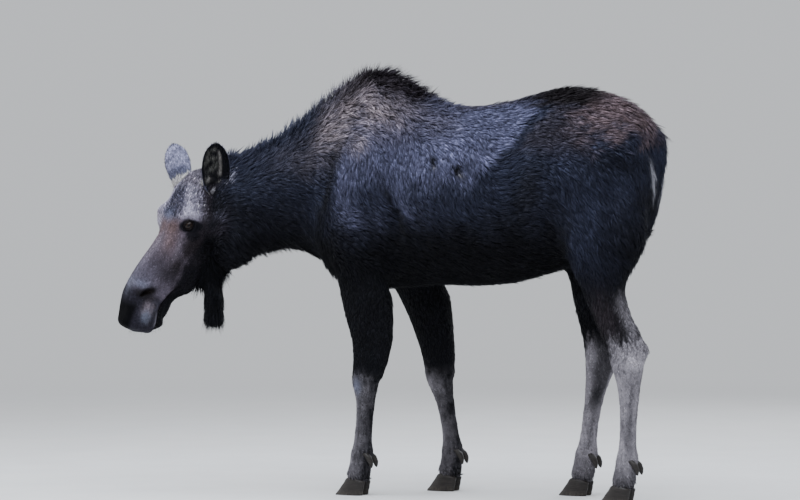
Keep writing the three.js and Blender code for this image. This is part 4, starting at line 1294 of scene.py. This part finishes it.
def ears():
    """Both ears: skin, and fur outside, along the rims and inside."""
    skins, fur = [], []
    for side in (1, -1):
        p, faces, shape, along, opening = ear_mesh(side)
        skins.append((p, faces, ear_colours(shape, p) * HAIR_SHADE_ON_SKIN, np.zeros(len(p))))
        weight = 1.0 * (shape[faces, 0].mean(1) > (0.08 if side > 0 else 0.01))
        root, out, found = sprouts(p, normals_of(p, faces), faces, weight, 4600)
        shape = at_places(shape, faces, *found)
        t, wide, inner = shape.T
        inside = inner > 0.12
        to_rim = np.sign(wide)[:, None] * np.cross(along, opening)
        bent = along + 0.1 * to_rim * (1 - 2 * (wide[:, None] ** 2 > 0.2))
        way = tangent(np.where(inside[:, None], bent, along), out)
        rimmed = np.abs(wide) > 0.8
        length = np.where(inside, 0.013 * ease(t, 1.05, 0.6) + 0.006, 0.012)
        length = np.where(rimmed, 0.012, length) + 0.010 * ease(t, 0.3, 0.1)
        lift = np.where(inside, 0.40, 0.22) + 0.15 * rimmed
        hairs = hair_at(root, out, way, length, lift)
        u = (0.02 if side > 0 else 0.52) + np.where(inside, 0.25, 0.0) + 0.105 * (wide + 1)
        place = np.stack([u, 0.02 + 0.96 * t], 1)
        colours = (ear_colours(shape, root), 0.34)
        fur.append(locks(hairs, np.full(len(t), 0.0022), colours, place, tip_shade=1.1))
    return skins, fur


def fitted(points, name):
    """Points moved so that their box has the middle of a node's box, and its floor."""
    low, high = corner_arrays(name)
    shift = (low + high) / 2 - (points.min(0) + points.max(0)) / 2
    shift[2] = low[2] - points[:, 2].min()
    return points + shift


def claw(name):
    """Half of a hoof: long with a blunt toe, ringed and a little hollow in front, dished at the coronet."""
    outer = 1 if "outer" in name else -1
    if "right" in name:
        outer = -outer
    levels = [0, 0.015, 0.05, *np.linspace(0.12, 0.84, 10), 0.9, 0.95, 0.985, 1.0]
    up, angle = np.meshgrid(levels, np.arange(44) * 2 * math.pi / 44, indexing="ij")
    toe = (1 + np.cos(angle)) / 2
    bulge = np.where(outer * np.sin(angle) > 0, 1.0, 0.78)
    edge = 1 - 0.05 * ease(up, 0.05, 0.0) - 0.25 * ease(up, 0.88, 1.0) ** 2
    ring = 1 + 0.010 * np.sin(up * 62) * ease(up, 0.05, 0.2) * ease(up, 0.95, 0.8)
    hollow = 1 - 0.05 * np.sin(math.pi * up) * toe**2
    wide = 0.025 * np.sin(angle) * bulge * (1 - 0.35 * toe) * (1 - 0.1 * up) * edge * ring
    long = 0.064 * np.cos(angle) * (1 - 0.22 * up) * edge * ring * hollow
    lean = (0.044 * toe + 0.026 * (1 - toe)) * up
    rings = np.stack([wide, -long + lean, up * (0.0776 - 0.014 * (1 - toe))], -1)
    turn = math.radians(-4 * outer)
    points, faces = closed_tube(rings)
    return fitted(points @ turned(2, turn).T, name), faces


def dewclaw(name):
    """A small blunt horn behind the ankle, curving down and back."""
    t, angle = np.meshgrid(np.linspace(0, 1, 15), np.arange(24) * 2 * math.pi / 24, indexing="ij")
    y = np.interp(t, [0, 0.3, 0.65, 1], [-0.020, 0.0, 0.012, 0.017])
    z = np.interp(t, [0, 0.3, 0.65, 1], [0.020, 0.0, -0.024, -0.050])
    girth = np.interp(t, [0, 0.3, 0.65, 0.9, 1], [0.013, 0.0165, 0.0135, 0.008, 0.002])
    girth = girth * (1 + 0.03 * np.sin(t * 40))
    behind = girth * np.sin(angle)
    points, faces = closed_tube(np.stack([girth * np.cos(angle), y + 0.9 * behind, z + 0.3 * behind], -1))
    low, high = corner_arrays(name)
    points = points * 0.86
    return points + (low + high) / 2 - (points.min(0) + points.max(0)) / 2 - [0, 0.010, -0.004], faces


def horn_piece(name, maker, nodes):
    piece = shown(name, mesh_from(name, *joined([maker(n) for n in nodes])), horn)
    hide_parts(*nodes)


def eyeball(side):
    """A ball with a clear bulge in front, brown round a long level pupil."""
    middle, out_of, along, up = eye_frame(side)
    tall, across = 36, 56
    v, u = np.meshgrid(
        np.linspace(0, math.pi, tall + 1)[1:-1], np.arange(across) * 2 * math.pi / across, indexing="ij"
    )
    ball = np.stack([np.sin(v) * np.cos(u), np.sin(v) * np.sin(u), np.cos(v)], -1)
    ball = np.vstack([ball.reshape(-1, 3), [[0, 0, 1], [0, 0, -1]]])
    a, b, c = ball.T
    r = np.hypot(a, b)
    front = c > 0
    p = middle + EYE_RADIUS * ball @ np.stack([along, up, out_of])
    p = p + (0.0012 * ease(r, 0.62, 0.40) * front)[:, None] * out_of
    points, faces = closed_tube(p[:-2].reshape(tall - 1, across, 3), p[-2:])
    iris = ease(r, 0.66, 0.60) * front
    ray = 0.5 + 0.5 * np.sin(np.arctan2(b, a) * 23) * np.sin(np.arctan2(b, a) * 41)
    colour = mix(tiled((0.010, 0.008, 0.008), p), (0.017, 0.010, 0.007), iris * (0.6 + 0.4 * ray))
    pupil = ease((a / 0.44) ** 2 + (b / 0.19) ** 2, 1.15, 0.85) * front
    colour = mix(colour, (0.002, 0.002, 0.003), pupil)
    name = "eyeball_left" if side > 0 else "eyeball_right"
    made = mesh_from(name, points + ORIGIN, faces)
    paint(made, "coat", colour)
    ball = shown(name, made, eye_material)
    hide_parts("eye_left" if side > 0 else "eye_right")


# ---------------------------------------------------------------- build

hair = make_hair_material()
skin_material = make_skin_material()
eye_material = make_eye_material()
horn = make_horn_material()

mesh, points, edges = make_skin()
triangles = triangles_of(mesh)
normal = normals_of(points, triangles)

# the top of the animal over each step along it
step = np.round(points[:, 1] / SLICE).astype(int)
step -= step.min()
tops = np.full(step.max() + 1, -1.0)
np.maximum.at(tops, step, points[:, 2])
top = tops[step]

points[:, 2] -= mane_depth(points, top)
normal = normals_of(points, triangles)
soft_normal = unit(relaxed(normal, edges, 12))
points -= soft_normal * coat_depth(points)[:, None]
normal = normals_of(points, triangles)
points = sculpt_body(points, normal)
normal = normals_of(points, triangles)
points, bare = sculpt_head(points, normal)
normal = normals_of(points, triangles)
colours = mix(markings(points, normal), (0.012, 0.009, 0.009), bare * 0.85) * HAIR_SHADE_ON_SKIN
ear_skins, ear_fur = ears()
all_points, all_faces, all_colours, all_bare = joined([(points, triangles, colours, bare), *ear_skins])
skin_mesh = mesh_from("skin", all_points + ORIGIN, all_faces)
paint(skin_mesh, "coat", all_colours)
layer = skin_mesh.attributes.new("bare", "FLOAT", "POINT")
layer.data.foreach_set("value", all_bare.astype(np.float32))

skin = shown("skin", skin_mesh, skin_material)
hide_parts(*[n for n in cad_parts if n.split("_")[0] in (*FLESH, "ear")])

# ---------------------------------------------------------------- the coat

centre = points[triangles].mean(1)
centre_normal = unit(normal[triangles].mean(1))
on_head = head_share(centre) > 0.5
bell_line = np.interp(centre[:, 2], [0.67, 0.87, 0.99], [-1.166, -1.178, -1.172])
on_bell = (np.hypot(centre[:, 0] + 0.010, centre[:, 1] - bell_line) < 0.07) & (centre[:, 2] < 0.995)
on_head &= ~on_bell
on_neck = (centre[:, 1] < -0.68) & ~on_head & ~on_bell
on_leg = (centre[:, 2] < 0.86) & (centre[:, 1] > -0.68) & ~on_bell
on_trunk = ~(on_head | on_bell | on_neck | on_leg)
skinless = bare[triangles].mean(1)


def coat_on(name, share, count, unwrap, width=0.078):
    """Short and medium hair over one part of the skin; width is a share of the length."""

    def hairs_on(n):
        root, out, _ = sprouts(points, normal, triangles, share * (1 - np.clip(skinless * 1.6, 0, 1)), n)
        return root, hair_at(root, out, lie(root, out), hair_length(root, out), hair_lift(root, out))

    root, hairs = hairs_on(count)
    _, guides = hairs_on(int(count / 6.0))
    colours = (markings(root, hairs["out"]), grizzle(root))
    width = width * hairs["length"]
    coat_object(name, [locks(hairs, width, colours, unwrap(root), guides=guides, pull=0.62)])


def trunk_map(low, high):
    return lambda q: round_section(q, 0.0, 1.25, low, high)


y = centre[:, 1]
coat_on("coat_shoulder", on_trunk & (y < -0.12), 32600, trunk_map(-0.75, -0.05))
coat_on("coat_flank", on_trunk & (y >= -0.12) & (y < 0.34), 32600, trunk_map(-0.2, 0.4))
coat_on("coat_haunch", on_trunk & (y >= 0.34), 32600, trunk_map(0.28, 0.9))
coat_on("coat_neck", on_neck, 31000, lambda q: round_section(q, 0.02, 1.22, -1.35, -0.6))
low_first = 1 + 1.2 * ease(centre[:, 2], 0.75, 0.5)
for name, mine, count in (
    ("coat_fore_legs", on_leg & (y < FORE_END), 21000),
    ("coat_hind_legs", on_leg & (y >= FORE_END), 22000),
):
    centres = leg_centres(centre[mine])
    coat_on(name, mine * low_first, count, lambda q: leg_section(q, centres), 0.15)
face_first = 1 + 1.0 * ease(to_head(centre)[:, 0], 0.0, 0.1)
coat_on("coat_head", on_head * face_first, 33000, head_section, 0.17)


def coat_tone(root, out):
    """A colour for each root, and how much one lock differs from the next."""
    return markings(root, out), grizzle(root)


def long_hair(
    share, count, length, width, lift, unwrap, tone=coat_tone, way=lie, drop=0.0, spread=6, pull=0.6
):
    """Long locks with two bends, over one part of the skin; spread locks share a guide."""

    def strands(n):
        root, out, _ = sprouts(points, normal, triangles, share, n)
        run = tangent(way(root, out), out)
        return root, hair_at(root, out, run, length(root), lift(root, out), arch=0.10, drop=drop)

    root, hairs = strands(count)
    _, guides = strands(int(count / spread))
    place = np.clip(unwrap(root), 0.01, 0.99)
    return locks(hairs, np.full(count, width), tone(root, hairs["out"]), place, (0.3, 0.65), pull, guides)


def plain(value):
    return lambda root, out=None: np.full(len(root), value)


def plain_tone(colour, spread):
    return lambda root, out: (tiled(colour, root), spread(root))


def downward(root, out):
    return tiled((0.0, 0.12, -1.0), root)


def mane_length(root):
    return 0.048 + 0.026 * ease(root[:, 1], -0.95, -0.6) * ease(root[:, 1], -0.1, -0.3)


def mane_lift(root, out):
    return 0.42 + 0.45 * crest_share(root, out)


def bell_length(root):
    return np.clip(root[:, 2] - 0.688, 0.014, 0.056)


def bell_map(root):
    angle = np.arctan2(root[:, 0] + 0.01, root[:, 1] + 1.17) / 6.284 + 0.5
    return np.stack([0.02 + 0.30 * angle, root[:, 2] * 0.9], 1)


def throat_map(root):
    return np.stack([0.36 + 0.28 * (root[:, 0] + 0.2) / 0.5, (root[:, 1] + 1.4) / 0.8], 1)


def tail_map(root):
    return np.stack([0.70 + 0.28 * (root[:, 0] + 0.05) / 0.1, (root[:, 2] - 1.3) / 0.3], 1)


def tuft_map(root):
    return 0.02 + 0.9 * (to_head(root)[:, [0, 2]] + [0.10, 0.16]) / [0.25, 0.32]


mane = crest_share(centre, centre_normal) * (on_trunk | on_neck)
mane = long_hair((mane > 0.1) * mane, 6800, mane_length, 0.0042, mane_lift, trunk_map(-1.3, 0.2), drop=0.05)
coat_object("mane", [mane])

place = to_head(centre)
black = plain_tone(DEEP_BLACK, plain(0.3))
bell = long_hair(
    on_bell, 4200, bell_length, 0.0048, plain(0.20), bell_map, black, downward, drop=0.25, spread=7, pull=0.25
)
throat = (on_neck | on_head) * ease(centre_normal[:, 2], -0.2, -0.6) * ease(centre[:, 1], -0.80, -0.98)
throat = throat * (place[:, 0] < 0.30) * ease(place[:, 1], -0.11, -0.17)
throat = long_hair((throat > 0.05) * throat, 2400, plain(0.046), 0.0048, plain(0.45), throat_map, drop=0.35)
on_tail = (y > 0.80) & (centre[:, 2] > 1.33) & (centre[:, 2] < 1.56) & (np.abs(centre[:, 0]) < 0.045)
tail = long_hair(on_tail, 1300, plain(0.042), 0.0045, plain(0.2), tail_map, way=downward, drop=0.1)
coat_object("bell_throat_and_tail", [bell, throat, tail])
coat_object("ear_fur", ear_fur)

# tufts of pale hair at the ears' roots
tufts = []
for at, reach, colour, long in (
    ((0.044, -0.055), (0.020, 0.012), CREAM, 0.024),
    ((0.070, -0.101), (0.012, 0.009), (0.15, 0.145, 0.16), 0.020),
    ((-0.014, -0.148), (0.044, 0.020), (0.34, 0.34, 0.43), 0.036),
):
    tufted = bump_at(np.stack([place[:, 0], face_level(place)], 1), at, reach)
    tufted = (on_head | on_neck) * (place[:, 0] > -0.08) * tufted
    tone = plain_tone(colour, grizzle)
    share = (tufted > 0.15) * tufted
    tufts.append(long_hair(share, 260, plain(long), 0.0026, plain(0.7), tuft_map, tone, drop=0.1, pull=0.5))
coat_object("ear_tufts", tufts)
for side in (1, -1):
    eyeball(side)

# ---------------------------------------------------------------- lashes and whiskers


def bristle_tree():
    """Geometry Nodes: a thin bent cone on every point, turned to its way and stretched to its length."""
    tree = bpy.data.node_groups.new("bristles", "GeometryNodeTree")
    inputs = {"Roots": "Geometry", "Thickness": "Float", "Bend": "Float", "Material": "Material"}
    for title, kind in inputs.items():
        tree.interface.new_socket(title, in_out="INPUT", socket_type="NodeSocket" + kind)
    tree.interface.new_socket("Bristles", in_out="OUTPUT", socket_type="NodeSocketGeometry")

    def node(kind, settings=None, **links):
        made = tree.nodes.new(kind)
        for key, value in (settings or {}).items():
            setattr(made, key, value)
        for key, value in links.items():
            socket = next(s for s in made.inputs if s.name.replace(" ", "_") == key and s.enabled)
            if isinstance(value, bpy.types.NodeSocket):
                tree.links.new(value, socket)
            else:
                socket.default_value = value
        return made

    def times(first, second):
        made = node("ShaderNodeMath", {"operation": "MULTIPLY"})
        tree.links.new(first, made.inputs[0])
        tree.links.new(second, made.inputs[1])
        return made.outputs[0]

    def named(name, kind):
        return node("GeometryNodeInputNamedAttribute", {"data_type": kind}, Name=name).outputs["Attribute"]

    given = node("NodeGroupInput").outputs
    cone = node(
        "GeometryNodeMeshCone", Vertices=6, Side_Segments=5, Radius_Top=0.12, Radius_Bottom=1.0, Depth=1.0
    )
    place = node("GeometryNodeInputPosition")
    height = node("ShaderNodeSeparateXYZ", Vector=place.outputs[0]).outputs["Z"]
    lean = node("ShaderNodeCombineXYZ", X=times(times(height, height), given["Bend"]))
    bent = node("GeometryNodeSetPosition", Geometry=cone.outputs["Mesh"], Offset=lean.outputs[0])
    turn = node("FunctionNodeAlignRotationToVector", {"axis": "Z"}, Vector=named("way", "FLOAT_VECTOR"))
    size = node("ShaderNodeCombineXYZ", X=given["Thickness"], Y=given["Thickness"], Z=named("long", "FLOAT"))
    spots = node("GeometryNodeMeshToPoints", Mesh=given["Roots"])
    copies = node(
        "GeometryNodeInstanceOnPoints",
        Points=spots.outputs[0],
        Instance=bent.outputs[0],
        Rotation=turn.outputs[0],
        Scale=size.outputs[0],
    )
    whole = node("GeometryNodeRealizeInstances", Geometry=copies.outputs[0])
    coloured = node("GeometryNodeSetMaterial", Geometry=whole.outputs[0], Material=given["Material"])
    tree.links.new(coloured.outputs[0], node("NodeGroupOutput").inputs[0])
    return tree


def bristles(name, roots, ways, lengths, thickness, bend):
    """Stiff hairs at given roots. The holder carries one corner for each."""
    base = bpy.data.meshes.new(name + "_roots")
    base.vertices.add(len(roots))
    put_points(base, roots + ORIGIN)
    way = base.attributes.new("way", "FLOAT_VECTOR", "POINT")
    way.data.foreach_set("vector", ways.astype(np.float32).ravel())
    long = base.attributes.new("long", "FLOAT", "POINT")
    long.data.foreach_set("value", lengths.astype(np.float32))
    holder = link(name + "_holder", base)
    grow = holder.modifiers.new("grow", "NODES")
    grow.node_group = bristle_group
    names = {s.name: s.identifier for s in bristle_group.interface.items_tree if s.in_out == "INPUT"}
    grow[names["Thickness"]] = thickness
    grow[names["Bend"]] = bend
    grow[names["Material"]] = bristle_material
    made = evaluated(holder)
    made.name = name
    shown(name, made, bristle_material)


def make_bristle_material():
    s = Shader("bristle")
    fine = s.noise(120.0, 2.0)
    colour = s.ramp(fine, [(0.3, (0.006, 0.005, 0.006)), (0.7, (0.020, 0.017, 0.018))])
    return s.finish(Base_Color=colour, Roughness=0.5)


bristle_material = make_bristle_material()
bristle_group = bristle_tree()
lash_roots, lash_ways, lash_lengths = [], [], []
for side in (1, -1):
    middle, out_of, along, up = eye_frame(side)
    for count, height, reach, tilt in ((34, 0.0136, 0.012, 0.80), (14, -0.0118, 0.005, -0.6)):
        s = np.linspace(-0.92, 0.92, count)
        a, b = 0.0196 * s, height * np.sqrt(1 - s**2)
        c = np.sqrt(EYE_RADIUS**2 - a**2 - b**2) + 0.0012
        lash_roots.append(middle + a[:, None] * along + b[:, None] * up + c[:, None] * out_of)
        fan = 0.8 * out_of + tilt * up + (0.35 * s + 0.25)[:, None] * along + rng.normal(0, 0.08, (count, 3))
        lash_ways.append(unit(fan))
        lash_lengths.append(reach * (1 - 0.35 * s**2) * rng.uniform(0.8, 1.15, count))
lash_ways, lash_lengths = np.vstack(lash_ways), np.concatenate(lash_lengths)
bristles("lashes", np.vstack(lash_roots), lash_ways, lash_lengths, 0.00042, 0.12)

lip = on_head * ease(place[:, 0], 0.56, 0.62) * ease(place[:, 1], 0.035, 0.0) * (np.abs(place[:, 2]) > 0.012)
root, out, _ = sprouts(points, normal, triangles, lip, 190)
ways = unit(out + 0.45 * FACE + rng.normal(0, 0.22, root.shape))
lengths = rng.uniform(0.012, 0.028, len(root))
bristles("whiskers", root - ways * 0.002, ways, lengths, 0.00035, 0.18)

horn_piece("hooves", claw, [n for n in sorted(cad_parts) if n.startswith("hoof")])
horn_piece("dewclaws", dewclaw, [n for n in sorted(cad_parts) if n.startswith("dewclaw")])

# ---------------------------------------------------------------- floor, light, camera


def make_stage():
    bpy.ops.mesh.primitive_plane_add(size=120, location=(0, 0, 0))
    floor = bpy.context.object
    floor.name = "floor"
    floor.data.materials.append(make_floor_material())
    world = bpy.data.worlds.new("studio")
    bpy.context.scene.world = world
    world.use_nodes = True
    world.node_tree.nodes["Background"].inputs[0].default_value = (*BACKDROP, 1)
    world.node_tree.nodes["Background"].inputs[1].default_value = 1.0

    def panel(name, place, size, watts, colour):
        light = bpy.data.lights.new(name, "AREA")
        light.shape = "RECTANGLE"
        light.size, light.size_y = size
        light.energy = watts
        light.color = colour
        lamp = link(name, light)
        lamp.location = place
        lamp.rotation_euler = (Vector((0, 0, 0.9)) - Vector(place)).to_track_quat("-Z", "Y").to_euler()

    panel("sky_panel", (1.0, 0.0, 6.0), (6, 6), 680, (0.82, 0.89, 1.0))
    panel("near_panel", (6.0, 1.5, 6.0), (6, 4), 210, (1.0, 0.98, 0.97))
    panel("front_panel", (1.5, -6.0, 3.0), (4, 3), 110, (1.0, 0.98, 0.95))
    panel("far_panel", (-6.0, 1.0, 3.2), (4, 3), 160, (0.92, 0.95, 1.0))


def make_camera():
    """A long lens at chest height, a little behind square on to the animal's left side."""
    camera = link("camera", bpy.data.cameras.new("camera"))
    camera.data.lens, camera.data.sensor_width = 190.35, 36.0
    camera.data.clip_end = 300
    camera.location = Vector(ORIGIN) + Vector((16.42771, 6.32261, 1.45))
    pitch, bearing = math.radians(1.396), math.radians(112.0)
    level = math.cos(pitch)
    away = Vector((-math.sin(bearing) * level, math.cos(bearing) * level, -math.sin(pitch)))
    camera.rotation_euler = away.to_track_quat("-Z", "Y").to_euler()
    bpy.context.scene.camera = camera


make_stage()
make_camera()
